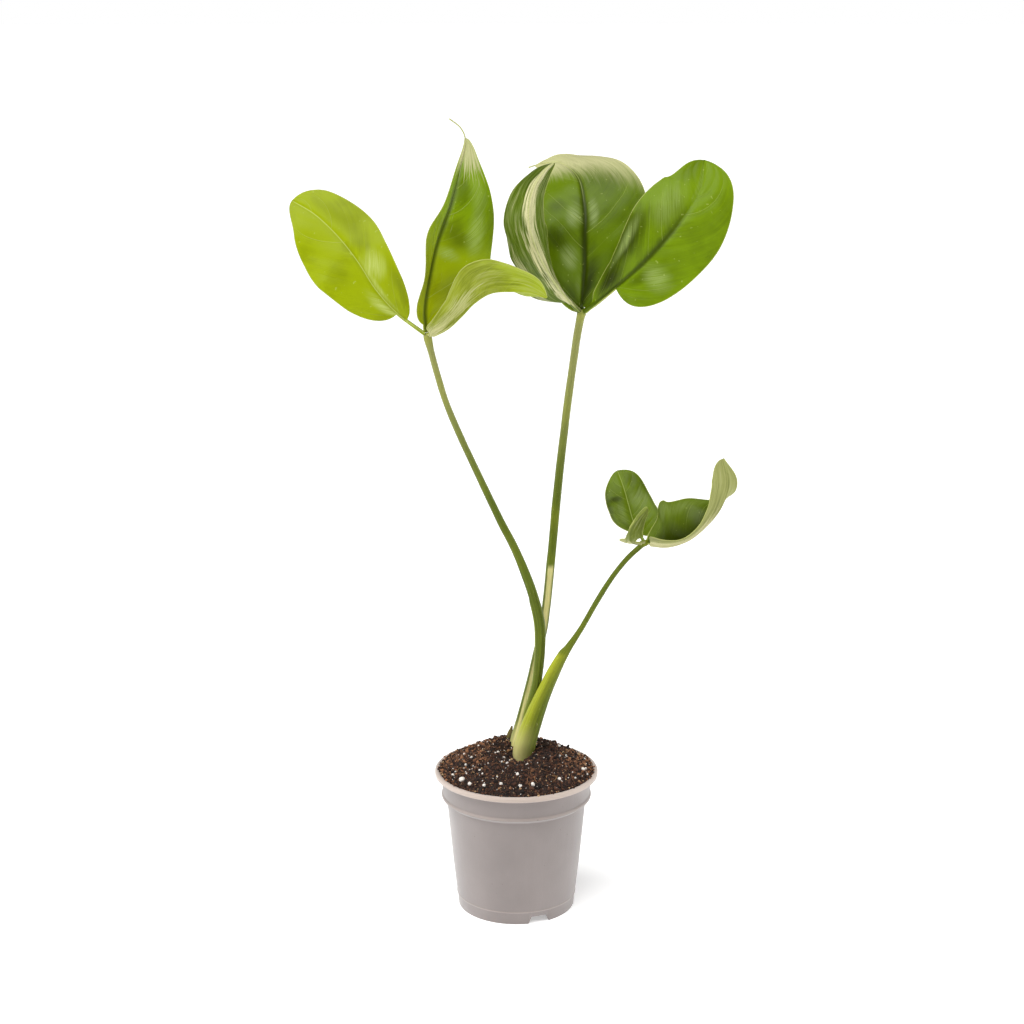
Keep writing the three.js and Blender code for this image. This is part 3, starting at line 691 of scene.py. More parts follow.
def build_crumbs(mix):
    """Loose crumbs lying on the heap, mostly small, with a few larger ones and some on the pot's lip."""
    random, x, y = scatter(mix.crumbs, 21, MIX_RADIUS - 0.6)
    radii = mix.crumb_size / MM * 0.5 * np.exp(random.normal(0, 0.42, len(x)))
    radii = np.clip(radii, 0.24, 1.7)
    z = mix_surface(x, y) + radii * random.uniform(-0.15, 0.55, len(x))
    spill = mix.crumbs // 9
    radius = MIX_RADIUS - 0.7 + np.minimum(np.abs(random.normal(0, 1.1, spill)), 2.6)
    angle, size = random.uniform(0, 2 * np.pi, spill), random.uniform(0.25, 0.85, spill)
    x, y = np.append(x, radius * np.cos(angle)), np.append(y, radius * np.sin(angle))
    z = np.append(z, POT_HIGH[2] / MM + size * random.uniform(0.1, 0.8, spill))
    radii = np.append(radii, size)
    shape = pebbles(np.stack([x, y, z], -1), radii, random, 2, 5, 0.3, 0.4, random.uniform(0, 1, len(x)))
    shape.piece("peat_crumbs", [peat_paint(mix, "Peat crumbs", True)], "potting_mix")


def build_fibres(mix):
    """Short strands on the heap: each is a four-cornered tube along a bent line that rises and falls."""
    random, x, y = scatter(mix.fibres, 33, MIX_RADIUS - 5)
    count, steps = mix.fibres, 7
    t = np.linspace(-0.5, 0.5, steps)[None]
    heading = random.uniform(0, 2 * np.pi, (count, 1)) + random.uniform(-1.6, 1.6, (count, 1)) * t
    length = random.uniform(3, 11, (count, 1))
    px, py = x[:, None] + length * t * np.cos(heading), y[:, None] + length * t * np.sin(heading)
    rise = random.uniform(0.2, 1.4, (count, 1)) * np.cos(np.pi * t) + random.uniform(-1, 2.2,
                                                                                     (count, 1)) * t
    path = np.stack([px, py, mix_height(px, py) + 0.6 + rise], -1)
    along = unit(np.gradient(path, axis=1))
    side = unit(np.cross(along, [0, 0, 1.0]))
    up = np.cross(side, along)
    thick = random.uniform(0.1, 0.26, (count, 1)) * (1 - 0.75 * np.abs(2 * t) ** 3)
    angle = np.arange(4) * np.pi / 2
    ring = (path[:, :, None] + thick[:, :, None, None] * (side[:, :, None] * np.cos(angle)[:, None]
                                                        + up[:, :, None] * np.sin(angle)[:, None]))
    ids = np.arange(steps * 4).reshape(steps, 4)
    quads = corners_of(np.concatenate([ids, ids[:, :1]], axis=1))
    ends = np.array([ids[0], ids[-1][::-1]])
    shape = Shape()
    shape.copies(ring.reshape(count, steps * 4, 3), random.uniform(0, 1, count), quads, ends)
    shape.piece("peat_fibres", [fibre_paint(mix)], "potting_mix")


def fibre_paint(mix):
    """Dry strands in shades of brown, mottled with dark peat."""
    paint = Paint("Peat fibres", IOR=1.4)
    tone = paint.tone()
    mottle = paint.noise(paint.place(), 600, 2, 0.5)
    colour = paint.blend(tone.step(0.1, 0.8), dim(mix.peat_colour, 0.8), mix.fibre_colour)
    colour = paint.blend(tone.step(0.8, 0.95) * 0.7, colour, srgb(176, 140, 92))
    colour = paint.blend(mottle * 0.4, colour, mix.dark_colour)
    bump = paint.bump(mottle, 0.0002, 0.5)
    return paint.finish(Base_Color=colour, Roughness=0.7 + mottle * 0.2, Normal=bump)


# x, y and radius of the large white grains.
GRANULES = [
    (-39.3, -31, 2.2), (0.8, -37.4, 1.5), (2.5, -47.5, 1.6), (-33.5, -38.5, 1.4), (48.5, -11, 1.5),
    (31.8, 19.4, 1.3), (11.8, -46, 1.5), (-11.1, -44.5, 1.3), (7.7, -25.7, 1.1), (-13.5, -1.2, 1),
    (-6.8, -23.5, 1), (-46, -21, 1.2), (-36.8, -15, 1.1), (31, -35.3, 1.3), (-23.2, -43.5, 1.2),
    (24, 38, 1.5), (-28, 30, 1.4), (-8, 44, 1.2)]


def perlite_paint(mix):
    """White puffed mineral with pores and a little brown dust."""
    paint = Paint("Perlite", IOR=1.5)
    place = paint.place()
    pores = paint.noise(place, 1500, 3, 0.6)
    dust = paint.noise(place, 420, 3, 0.6)
    colour = paint.blend(dust.step(0.52, 0.75) * 0.6, mix.perlite_colour, srgb(150, 120, 96))
    colour = paint.blend((1 - pores.step(0.3, 0.45)) * 0.4, colour, srgb(120, 104, 92))
    bump = paint.bump(pores, 0.0004, 0.7)
    return paint.finish(Base_Color=colour, Roughness=0.75 + pores * 0.2, Normal=bump)


def build_perlite(mix):
    """The large grains stand where the frame has them. The grit is much smaller and lies everywhere."""
    random = np.random.default_rng(7)
    x, y, radii = np.array(GRANULES).T
    centres = np.stack([x, y, mix_height(x, y) + radii * 0.35 + 0.2], -1)
    paint = perlite_paint(mix)
    big = pebbles(centres, radii * 1.02, random, 9, 14, 0.1, 0.16)
    big.piece("perlite_grains", [paint], "perlite",
              replaces=[f"perlite_{i + 1:02d}" for i in range(len(GRANULES))])
    random, x, y = scatter(mix.grit, 11, MIX_RADIUS - 1.5)
    radii = np.clip(np.exp(random.normal(-1.15, 0.42, len(x))), 0.14, 0.95)
    z = mix_surface(x, y) + radii * random.uniform(0.2, 0.9, len(x))
    small = pebbles(np.stack([x, y, z], -1), radii, random, 3, 6, 0.22, 0.35)
    small.piece("perlite_grit", [paint], "perlite")


# Stalks

# Each row: x, y, z, half width, half depth.
RIGHT_PETIOLE = [
    (4.7, 3.5, 104, 7.2, 6.6), (6, 3, 121, 7.9, 7.2), (12.3, 1, 142, 7, 6.4), (19.9, -2.5, 163, 5.4, 5),
    (27.9, -6, 182, 4.2, 4.2), (35.6, -10, 198, 3, 2.9), (45.6, -13, 215, 2, 2.1),
    (57.1, -17, 237.5, 1.9, 1.9), (67.2, -21, 256, 1.8, 1.8), (77.2, -24, 270.5, 1.8, 1.8),
    (87.3, -26, 281, 1.8, 1.8), (90.8, -27, 284, 2.3, 2.3), (91.8, -27.4, 285.6, 1.1, 1.1)]
LEFT_PETIOLE = [
    (2.2, 5.5, 104, 3.6, 3.6), (4.4, 5, 121, 4, 4), (8.2, 4.5, 141, 4, 3.8), (12.2, 3.5, 157, 4, 3.6),
    (15.1, 2, 172.5, 3.6, 3.5), (17.2, 0, 196, 3.8, 3.6), (17, -2, 216, 3.8, 3.5), (13, -4, 235, 3.5, 3.4),
    (7, -6, 254, 3.3, 3.2), (-1.5, -8, 275, 2.9, 2.9), (-11.7, -10, 296, 2.6, 2.6),
    (-25.8, -12, 327, 2.4, 2.4), (-38.3, -14, 355, 2.3, 2.3), (-49.9, -15, 384, 2.2, 2.2),
    (-58.7, -15, 415.5, 2.2, 2.2), (-61.7, -15, 428, 2.9, 2.9), (-62.3, -15, 430.8, 1.4, 1.4)]
MIDDLE_PETIOLE = [
    (-2.8, 10.5, 104, 4.4, 4.4), (-0.9, 11.5, 119, 4.4, 4.6), (4.6, 13.5, 141, 3.8, 4),
    (9.9, 15, 164, 3.2, 3.6), (15.2, 17, 187, 3.2, 3.4), (19.6, 18, 206, 3.2, 3.2),
    (22.4, 20, 228, 3.1, 3.1), (25.3, 22, 258, 3.1, 3), (28.8, 25, 298.5, 3, 2.9), (32.9, 27, 339, 2.9,
                                                                                    2.8),
    (37.1, 28, 375.5, 2.8, 2.8), (41.8, 27, 412, 2.7, 2.7), (45.1, 25, 434, 2.9, 2.9),
    (46.1, 24, 438.5, 3.2, 3.2), (46.7, 23.7, 441, 1.6, 1.6)]

# Grooves and sheath edges: name, rows, then for each groove its angle on the section in degrees (0 right,
# 90 front, 180 left), half angle, heights where it begins and ends, and depth. Then the sheath's colour
# band, and its shoulder: angle, half angle, the height where it ends, and how far it stands out.
STALKS = [
    ("right_petiole", RIGHT_PETIOLE, [(98, 7, 150, 190, 0.4)],
     dict(side=165, spread=104, top=199, hue=0.95, soft=0.1, edge=0.0, shoulder=(160, 70, 199, 1.0))),
    ("left_petiole", LEFT_PETIOLE, [(60, 14, 150, 252, 0.8), (150, 9, 225, 275, 0.5)],
     dict(side=195, spread=60, top=236, hue=0.4, soft=0.2, edge=0.2, shoulder=(165, 40, 236, 0.5))),
    ("middle_petiole", MIDDLE_PETIOLE, [(86, 44, 150, 258, 1.1)],
     dict(side=86, spread=44, top=256, hue=1.0, pale=True)),
]


def away(angle, centre):
    """How many degrees an angle is from a centre, the short way round."""
    return np.abs(np.mod(angle - centre + 180, 360) - 180)


def line_of(rows, u):
    """A stalk's length, line and directions at length fractions u, and its half width and half depth
    there."""
    rows = np.array(rows)
    t, length, centre, along, up, across = directions(rows[:, :3], [(0, -1, 0), (0, -1, 0)], u)
    return length, centre, along, up, across, trace(rows[:, 3:], t)


def tube(line, angle, wide, deep, lead, tail):
    """A closed skin of oval rings round a line: centre + across * wide * cos + up * deep * sin, at each
    angle in degrees. Its ends are drawn out to a point by lead and tail."""
    _, centre, along, up, across, _ = line
    a = np.radians(angle)[None]
    ring = (centre[:, None] + across[:, None] * (wide * np.cos(a))[..., None]
            + up[:, None] * (deep * np.sin(a))[..., None])
    shape = Shape()
    ids = shape.grid(ring, around=True)
    shape.fan(ids[0][::-1], centre[0] - along[0] * lead)
    shape.fan(ids[-1], centre[-1] + along[-1] * tail, at=(1, 0))
    return shape


def build_stalk(name, rows, grooves, band, stems, rings=260, corners=56):
    """An oval section carried along a smooth line. A groove lowers the surface by its depth times a dip
    with a flat bottom, and raises a thin lip at each of its edges; it tapers to a point at its upper
    end."""
    u = np.linspace(0, 1, rings)
    line = line_of(rows, u)
    length, height, radius = line[0], line[1][:, 2], line[-1]
    angle = np.arange(corners) * 360 / corners
    relief = 0.05 * np.cos(np.radians(angle * 14))[None]
    relief = relief + 0.12 * hills(angle[None] / 26, u[:, None] * length / 14, 1, 5)
    for side, half, low, high, depth in grooves:
        reach = smooth(height, low, low + 14) * (1 - smooth(height, high - 16, high))
        open_half = half * (0.25 + 0.75 * np.sqrt(reach))[:, None]
        off = away(angle, side)[None] / open_half
        dip = 1 - smooth(off, 0.55, 0.95)
        lip = np.exp(-((off - 1.08) / 0.16) ** 2)
        relief = relief - reach[:, None] * (depth * dip - 0.28 * lip)
    if "shoulder" in band:
        side, half, high, rise = band["shoulder"]
        swell = smooth(height, high - 60, high - 8) * (1 - smooth(height, high - 3, high + 2.5))
        relief = relief + rise * swell[:, None] * (1 - smooth(away(angle, side)[None] / half, 0.3, 1.0))
    skin = tube(line, angle, radius[:, :1] + relief, radius[:, 1:] + relief, 0.6, 0.5)
    skin.piece(name + "_skin", [stalk_paint(name, stems, length, band)], "petiole", replaces=[name])


def stalk_paint(name, stems, length, band):
    """A smooth green skin with long fine ribs, pale flecks, a paler sheath on one side with a thin dark
    edge, and a foot that fades to cream where it leaves the mix."""
    paint = Paint(name.replace("_", " ").capitalize() + " skin", IOR=1.45, Coat_Weight=0.05,
                  Coat_Roughness=0.3,
                  Specular_IOR_Level=0.16, Subsurface_Weight=0.12, Subsurface_Radius=(0.3, 0.5, 0.1),
                  Subsurface_Scale=0.004)
    u, v = paint.surface()
    place = paint.place()
    height = paint.parts(place)[2] / MM
    turn = v * (2 * math.pi)
    c, s = turn.cosine(), turn.sine()
    ribs = paint.noise(paint.vector(c * 9, s * 9, u * (length / 60)), 1, 3, 0.6)
    fleck = paint.noise(paint.vector(c * 5, s * 5, u * (length / 2.2)), 1, 2, 0.5)
    patch = paint.noise(place, 30, 2, 0.5)
    colour = paint.blend(ribs.step(0.35, 0.68), dim(stems.stalk_colour, 0.75),
                         dim(stems.stalk_colour, 1.25))
    colour = paint.blend(patch.step(0.4, 0.75) * 0.25, colour, stems.sheath_colour)
    high = height.step(300, 420)
    colour = paint.blend(high * 0.55, colour, toward(stems.stalk_colour, stems.foot_colour, 0.5))
    off = abs(((v * 360 - band["side"] + 540) / 360).fraction() * 360 - 180)
    sheath = 1 - off.step(band["spread"] * band.get("soft", 0.6), band["spread"] * 1.1)
    sheath = sheath * (1 - height.step(band["top"] - 5, band["top"]))
    skin = toward(stems.sheath_colour, stems.foot_colour, 0.9 if band.get("pale") else 0.0)
    pale = paint.blend(ribs.step(0.3, 0.7), dim(skin, 0.85), dim(skin, 1.15))
    colour = paint.blend(sheath * band["hue"], colour, pale)
    rim = 1 - abs(off - band["spread"] * 1.08).step(0, 9)
    rim = rim * (1 - height.step(band["top"] - 4, band["top"] + 6))
    colour = paint.blend(rim * band.get("edge", 0.6), colour, dim(stems.stalk_colour, 0.4))
    foot = 1 - height.step(108, 146)
    colour = paint.blend(foot * (0.12 + 0.88 * (1 - off.step(25, 135))), colour, stems.foot_colour)
    hub = u.step(0.965, 0.99)
    colour = paint.blend(hub * 0.3, colour, stems.sheath_colour)
    colour = paint.blend(fleck.step(0.66, 0.76) * 0.25, colour, stems.foot_colour)
    soil = paint.noise(place, 240, 4, 0.7).step(0.5, 0.66) * (1 - height.step(108, 120))
    colour = paint.blend(soil * 0.6, colour, srgb(92, 70, 48))
    bump = paint.bump(fleck, 0.0002, 0.4, paint.bump(ribs, 0.0005, 0.5))
    return paint.finish(Base_Color=colour, Roughness=0.38 + ribs * 0.14, Normal=bump)


WITHERED = [
    (-6, 18, 112, 1.6, 0.7), (-5.2, 18, 119, 2.1, 0.8),
    (-4.3, 18, 125.5, 1.7, 0.7), (-3.2, 18, 131, 0.6, 0.4)]
SLIVER = [
    (17.6, 7.5, 117.6, 0.8, 0.7), (20, 7, 119.6, 1.3, 0.9),
    (22, 6.5, 121, 1, 0.8), (24, 6.5, 120.7, 0.5, 0.5)]


def build_scrap(name, node, rows, material, slot_name, crease, seed):
    """A withered strip or a splinter: an oval section along a bent line, creased lengthwise and ragged."""
    u = np.linspace(0, 1, 60)
    line = line_of(rows, u)
    angle = np.arange(32) * 360 / 32
    folds = crease * np.cos(3 * np.radians(angle)[None] + 4 * u[:, None])
    ragged = 1 + folds + 0.22 * hills(angle[None] / 40, u[:, None] * 9, 1, seed)
    skin = tube(line, angle, line[-1][:, :1] * ragged, line[-1][:, 1:] * ragged, 0.3, 0.3)
    skin.piece(name, [material], slot_name, replaces=[node])


def scrap_paint(name, dark, light, scale):
    """Dry streaked plant matter."""
    paint = Paint(name, IOR=1.4)
    u, v = paint.surface()
    place = paint.place()
    streak = paint.noise(paint.vector(v * 9, u * 1.5, 0.3), 2, 4, 0.7)
    mottle = paint.noise(place, scale, 3, 0.6)
    colour = paint.blend(streak.step(0.35, 0.7), dark, light)
    colour = paint.blend(mottle.step(0.5, 0.8) * 0.5, colour, dim(dark, 0.6))
    bump = paint.bump(streak, 0.0005, 0.8)
    return paint.finish(Base_Color=colour, Roughness=0.65 + mottle * 0.25, Normal=bump)


def root_paint():
    """Pale brown bark of the buried stem and roots, ringed and dusted with peat."""
    paint = Paint("Root bark", IOR=1.4)
    place = paint.place()
    x, y, z = paint.parts(place)
    rings = paint.noise(paint.vector(x * 40, y * 40, z * 400), 1, 3, 0.6)
    dust = paint.noise(place, 160, 4, 0.65)
    colour = paint.blend(rings.step(0.35, 0.7), srgb(120, 92, 58), srgb(178, 150, 104))
    colour = paint.blend(dust.step(0.45, 0.7) * 0.7, colour, srgb(58, 40, 28))
    return paint.finish(Base_Color=colour, Roughness=0.7 + dust * 0.2,
                        Normal=paint.bump(rings, 0.0006, 0.7))


# Leaflets

# midrib: points from the stalk to the tip. face: which way the upper side faces at each point. left,
# right: where the half starts, how far its lobe hangs back, and six half widths. fold: how far each half
# rises from the midrib, in degrees. curl: how far it turns on towards its margin. ripple: height, number
# and phase of the waves along the margin. end: where the blade ends before its tail. look: colour family
# (and colour, where it has that of another family), brightness, side veins, colour of the underside and
# of its tip, how deep the midrib's groove is and how much shade is painted along it, how pale its rib is,
# and how much shade is painted into the fold (deep). upper, under: pale bands, each its middle and half
# width across the blade (-1 to 1), the two lengths between which it fades in, its strength, how much
# earlier it starts on the right, and how frayed it is; under ones are cream streaks, upper ones are a
# painted reflection of light where the blade's top bends back. The two patch lists, painted highlights and
# painted shade: each its middle along and across, its half length and half width, and its strength, below
# 0 where it is painted shade. sheen: how bright the painted highlights are. young: how yellow the blade is
# at its base.
LEAFLETS = [
    dict(
        name="left_outer_leaflet", stalk=1.4,
        midrib=[(-63.9, -16.3, 430.6), (-82.2, -22, 445.8), (-96.2, -24, 461.9), (-108.5, -20, 480.6),
                (-122.5, -12, 497.1), (-138.7, -4, 511.3), (-155.1, 4, 520.1)],
        face=[(-0.1, -0.8, 0.6), (0, -1, 0.3), (0, -1, 0.25), (0.05, -1, 0.2), (0.05, -1, 0.3),
              (0.1, -1, 0.4), (0.1, -1, 0.45)],
        left=(0.175, -1, 28, 30, 33, 32, 29, 21), right=(0.115, 0, 24, 23.5, 23, 26.5, 27, 29),
        fold=[(12, 12), (12, 12), (10, 10), (8, 8), (5, 5), (4, 4), (3, 3)],
        curl=[(-5, -5), (-8, -8), (-12, -12), (-18, -18), (-18, -18), (-14, -14), (-8, -8)],
        ripple=(1, 2.2, 0.5),
        look=dict(family="lime", shade=0.8, seed=1, quilt=0.2, veins=7, rib=0.8, back=(140, 152, 40),
                  sheen=0.45,
                  shade_spots=[(0.72, 0.45, 0.25, 0.35, -0.25), (0.3, 0.8, 0.2, 0.3, -0.3),
                         (0.5, -0.5, 0.1, 0.3, -0.2)],
                  sheen_spots=[(0.22, -0.25, 0.16, 0.26, 1), (0.45, 0.38, 0.1, 0.45, 0.9),
                         (0.35, 0.1, 0.2, 0.12, 0.6),
                         (0.12, -0.3, 0.09, 0.35, 1)])),
    dict(
        name="left_upright_leaflet", stalk=1.7,
        midrib=[(-63, -12, 431), (-63, -9, 449), (-59, -4, 473), (-54, 4, 493), (-46, 16, 515),
                (-40, 30, 539), (-36, 40, 557), (-39, 40, 567), (-47, 34, 574)],
        face=[(0.45, -0.9, 0.1), (0.45, -0.9, 0.1), (0.4, -1, 0.15), (0.35, -1, 0.25), (0.3, -1, 0.35),
              (0.2, -0.9, 0.5), (0.1, -0.9, 0.5), (0.1, -0.9, 0.5), (0, -0.8, 0.8)],
        left=(0.03, 0, 19, 6.5, 12, 6, 4, 3), right=(0, 2, 20, 47, 44, 37, 28, 13),
        fold=[(0, 15), (5, 8), (40, 5), (35, 3), (25, 3), (15, 3), (10, 3), (5, 3), (5, 3)],
        curl=[(5, -8), (0, -20), (-5, -22), (-10, -22), (-10, -20), (0, -10), (0, 0), (0, 0), (0, 0)],
        ripple=(1, 1.7, 0.5), end=0.88,
        look=dict(family="lime", colour="green", shade=1.5, seed=2, quilt=0.5, veins=8, groove=1.3,
                  back=(122, 138, 30), young=1,
                  shade_spots=[(0.44, 0.3, 0.09, 0.4, -0.5), (0.64, 0.2, 0.12, 0.3, -0.4),
                         (0.22, 0.5, 0.1, 0.4, -0.3)],
                  sheen_spots=[(0.5, 0.62, 0.14, 0.22, 0.7), (0.35, 0.22, 0.04, 0.26, 0.8),
                         (0.66, 0.6, 0.1, 0.3, 0.4)],
                  # upper: a painted reflection, a pale band where the blade's top bends back.
                  upper=[(0, 3, 0.62, 0.86, 0.9, 0, 1.2)])),
    dict(
        name="left_front_leaflet", stalk=1.8,
        midrib=[(-60.3, -16.6, 430.1), (-48, -30, 438), (-38, -40, 448), (-29, -50, 458), (-17, -60, 466),
                (-3, -68, 468), (9, -74, 468), (20, -78, 465)],
        face=[(-0.4, 0.5, 0.8), (-0.45, 0.5, 0.8), (-0.4, 0.5, 0.9), (-0.3, 0.5, 0.9), (0, 0.5, 0.9),
              (0.1, 0.5, 0.9), (0.2, 0.45, 0.9), (0.3, 0.4, 0.9)],
        left=(0.01, 0, 20, 18, 18, 20, 18, 12), right=(0.01, 0, 20, 15.5, 16, 27, 41, 44),
        fold=[(30, 40), (30, 40), (32, 40), (30, 40), (28, 36), (20, 30), (14, 24), (10, 20)],
        curl=[(10, 0), (10, 0), (5, 0), (0, -10), (-10, -20), (-20, -25), (-20, -25), (-10, -10)],
        ripple=(0.8, 1.5, 2.5),
        look=dict(family="lime", shade=0.7, seed=3, quilt=0.2, veins=7, back=(142, 154, 34),
                  tip=(147, 164, 0),
                  under=[(0, 2, 0.24, 0, 0.65, 0, 1.5), (0.3, 0.6, 0.75, 0.3, 0.55, 0, 1.6)])),
    dict(
        name="middle_left_leaflet", stalk=1.8,
        midrib=[(44, 22.6, 440.9), (32, 2, 456), (21, -20, 474), (12, -28, 494), (8, -26, 512),
                (11, -14, 529), (19, 0, 540), (26, 8, 545)],
        face=[(-0.4, 0.6, 0.6), (-0.3, 0.8, 0.4), (-0.1, 0.95, 0.2), (0.1, 1, 0), (0.15, 1, -0.1),
              (0.15, 0.9, -0.3), (0.2, 0.8, -0.5), (0.2, 0.7, -0.7)],
        left=(0.16, 2, 5, 9, 19, 21, 14, 7), right=(0.1, 1, 71, 34, 34, 34, 28, 23),
        fold=[(40, 30), (50, 35), (55, 38), (58, 38), (58, 36), (50, 30), (40, 25), (30, 20)],
        curl=[(10, 10), (15, 20), (15, 25), (15, 30), (15, 30), (15, 25), (10, 10), (5, 5)],
        ripple=(0.8, 2, 0.5),
        look=dict(family="green", shade=0.95, seed=4, quilt=0.18, veins=9, back=(80, 101, 6),
                  under=[(-0.06, 0.44, 0.02, 0.1, 1, 0, 1.7), (-0.6, 0.5, 0.6, 0.2, 0.5, 0, 1.6),
                         (0.75, 0.35, 0.7, 0.3, 0.4, 0, 1.8)])),
    dict(
        name="middle_centre_leaflet", stalk=2,
        midrib=[(46, 27.4, 441.4), (48, 22, 468), (48, 22, 491), (48, 32, 512), (44, 50, 532),
                (32, 72, 541), (21, 84, 540), (9, 90, 536)],
        face=[(0, -1, 0.2), (0, -1, 0.15), (-0.05, -1, 0.2), (-0.05, -0.95, 0.35), (-0.05, -0.85, 0.55),
              (0, -0.75, 0.65), (0, -0.75, 0.65), (0, -0.75, 0.65)],
        left=(0.03, 8.6, 36, 38, 37, 33, 22, 10), right=(0.01, 3, 27, 37, 44, 42, 22, 1),
        fold=[(25, 25), (15, 15), (8, 8), (4, 8), (2, 8), (0, 4), (0, 0), (0, 0)],
        curl=[(5, 5), (-10, -10), (-20, -20), (-25, -25), (-25, -25), (-20, -20), (-10, -10), (0, 0)],
        ripple=(1, 2, 0), end=0.97,
        look=dict(family="green", shade=0.98, seed=5, quilt=0.32, veins=9, groove=1.3, rib=0.4,
                  shade_spots=[(0.33, -0.6, 0.07, 0.35, -0.6), (0.3, -0.02, 0.3, 0.12, -0.7),
                         (0.12, 0.16, 0.18, 0.3, -0.9),
                         (0.08, -0.5, 0.1, 0.4, -0.6), (0.5, -0.55, 0.06, 0.3, -0.4)],
                  sheen_spots=[(0.43, -0.22, 0.08, 0.2, 1), (0.44, 0.14, 0.08, 0.1, 0.8),
                         (0.24, -0.34, 0.07, 0.26, 1),
                         (0.1, -0.2, 0.08, 0.14, 0.3)],
                  # upper: a painted reflection, a pale band where the blade's top bends back.
                  upper=[(0, 9, 0.54, 0.88, 0.8, 0.12, 0.25)], back=(160, 164, 96))),
    dict(
        name="middle_right_leaflet", stalk=2,
        midrib=[(48.4, 22.4, 440.5), (68, 6, 459), (89, -8, 480), (110, -6, 504), (126, 4, 527),
                (130, 14, 547)],
        face=[(-0.4, -0.8, 0.4), (-0.35, -0.9, 0.35), (-0.2, -1, 0.3), (-0.1, -1, 0.25), (-0.1, -1, 0.3),
              (-0.1, -1, 0.4)],
        left=(0.02, 3, 6, 17, 24, 32, 35, 37), right=(0.22, 0, 42, 37, 34, 34, 32, 30),
        fold=[(28, 28), (22, 18), (16, 10), (10, 6), (6, 4), (4, 4)],
        curl=[(0, 0), (-14, -10), (-20, -18), (-20, -18), (-14, -14), (-5, -5)],
        ripple=(1.2, 2.3, 0.8),
        look=dict(family="green", shade=1.32, seed=6, quilt=0.3, veins=10, groove=1.2, back=(120, 140, 40),
                  shade_spots=[(0.42, -0.78, 0.27, 0.5, -1), (0.22, -0.5, 0.16, 0.7, -1),
                         (0.5, -0.04, 0.3, 0.14, -0.5),
                         (0.95, -0.5, 0.12, 0.5, -0.3), (0.36, 0.25, 0.1, 0.2, -0.5)],
                  sheen_spots=[(0.72, -0.45, 0.17, 0.4, 0.45), (0.88, -0.05, 0.12, 0.1, 0.35),
                         (0.42, 0.45, 0.06, 0.5, 0.7),
                         (0.42, -0.8, 0.18, 0.18, 1)])),
    dict(
        name="right_rear_leaflet", stalk=1.2,
        midrib=[(89.3, -24.8, 284.8), (83, -18, 296), (79, -10, 309), (76, -4, 319), (72, 4, 329)],
        face=[(0.2, -0.9, 0.3), (0.15, -1, 0.2), (0.1, -1, 0.15), (0.1, -1, 0.2), (0.1, -0.9, 0.4)],
        left=(0.12, 2, 8, 15.5, 15.5, 15.5, 15, 11.5), right=(0.1, 7, 25, 24, 18.5, 16.5, 17.5, 21.5),
        fold=[(20, 20), (14, 14), (8, 8), (5, 5), (3, 3)],
        curl=[(0, 0), (-8, -8), (-14, -14), (-18, -18), (-18, -18)],
        ripple=(0.6, 2, 0.3),
        look=dict(family="dark", shade=1.15, seed=7, quilt=0.3, veins=6, back=(130, 142, 70), rib=0.5,
                  shade_spots=[(0.62, -0.55, 0.05, 0.4, -0.7), (0.2, -0.6, 0.2, 0.4, -0.5),
                         (0.85, 0.5, 0.15, 0.5, -0.35),
                         (0.5, -1, 0.5, 0.25, -0.5), (0.55, 1, 0.5, 0.2, -0.5)],
                  sheen_spots=[(0.55, 0.5, 0.16, 0.5, 0.35), (0.4, -0.5, 0.2, 0.4, 0.25)])),
    dict(
        name="right_boat_leaflet", stalk=1.3,
        midrib=[(93, -28, 284), (105, -40, 286), (119, -46, 292), (131, -48, 303), (140.5, -48, 316),
                (146, -46, 332), (142.5, -42, 348)],
        face=[(0, -0.3, 0.95), (-0.05, -0.3, 0.93), (-0.4, -0.25, 0.85), (-0.6, 0, 0.7), (-0.6, 0.45, 0.4),
              (-0.35, 0.9, 0.1), (-0.2, 1, 0)],
        left=(0.035, 8, 27, 38.5, 29.5, 22, 12, 3), right=(0.01, -7, 39, 10.5, 5.5, 10.5, 16, 20),
        fold=[(60, 45), (62, 48), (60, 50), (52, 45), (35, 25), (15, 10), (5, 5)],
        curl=[(10, 10), (10, 10), (10, 10), (5, 5), (5, 5), (0, 0), (0, 0)],
        ripple=(0.5, 1.6, 1),
        look=dict(family="dark", shade=1.05, seed=8, quilt=0.15, veins=8, back=(144, 148, 86), deep=0.9,
                  rib=0.1,
                  sheen_spots=[(0.35, -0.8, 0.3, 0.25, 0.4)],
                  under=[(0, 0.9, 0.8, 0.45, 0.95, 0, 1.3)])),
    dict(
        name="right_front_leaflet", stalk=1.1,
        midrib=[(89.7, -29, 285), (83, -37, 287), (79, -42, 291), (79, -46, 299), (83, -48, 307),
                (87, -49, 312), (90, -48, 315)],
        face=[(0, 0.7, 0.7), (0, 0.8, 0.6), (0.3, 0.85, 0.4), (0.3, 0.95, 0), (-0.1, 0.95, 0.1),
              (-0.2, 0.95, 0.1), (-0.2, 0.95, 0.1)],
        left=(0.25, 7, 0, 10.5, 9, 9, 10, 12.5), right=(0.08, -8, 38, 10, 2.5, 0.5, 1.5, 3.5),
        fold=[(10, 10), (10, 10), (10, 10), (15, 20), (20, 40), (25, 50), (25, 50)],
        curl=[(0, 20), (5, 60), (10, 60), (15, 50), (20, 30), (20, 20), (10, 10)],
        ripple=(0.2, 1.6, 1),
        look=dict(family="dark", shade=1.15, seed=9, quilt=0.1, veins=6, back=(104, 118, 36), rib=0.2,
                  under=[(0, 2, 0.5, 0.15, 0.8, 0, 1.5)])),
]


def half_width(side, end, u):
    """Half the blade's width on one side: an ellipse, 2 sqrt(x (1 - x)), times a smooth curve through six
    sizes."""
    x = np.clip((u - side[0]) / (end - side[0]), 0, 1)
    sizes = trace(np.array(side[2:], float)[:, None], x)[:, 0]
    return np.sqrt(4 * x * (1 - x)) * np.maximum(0, sizes)


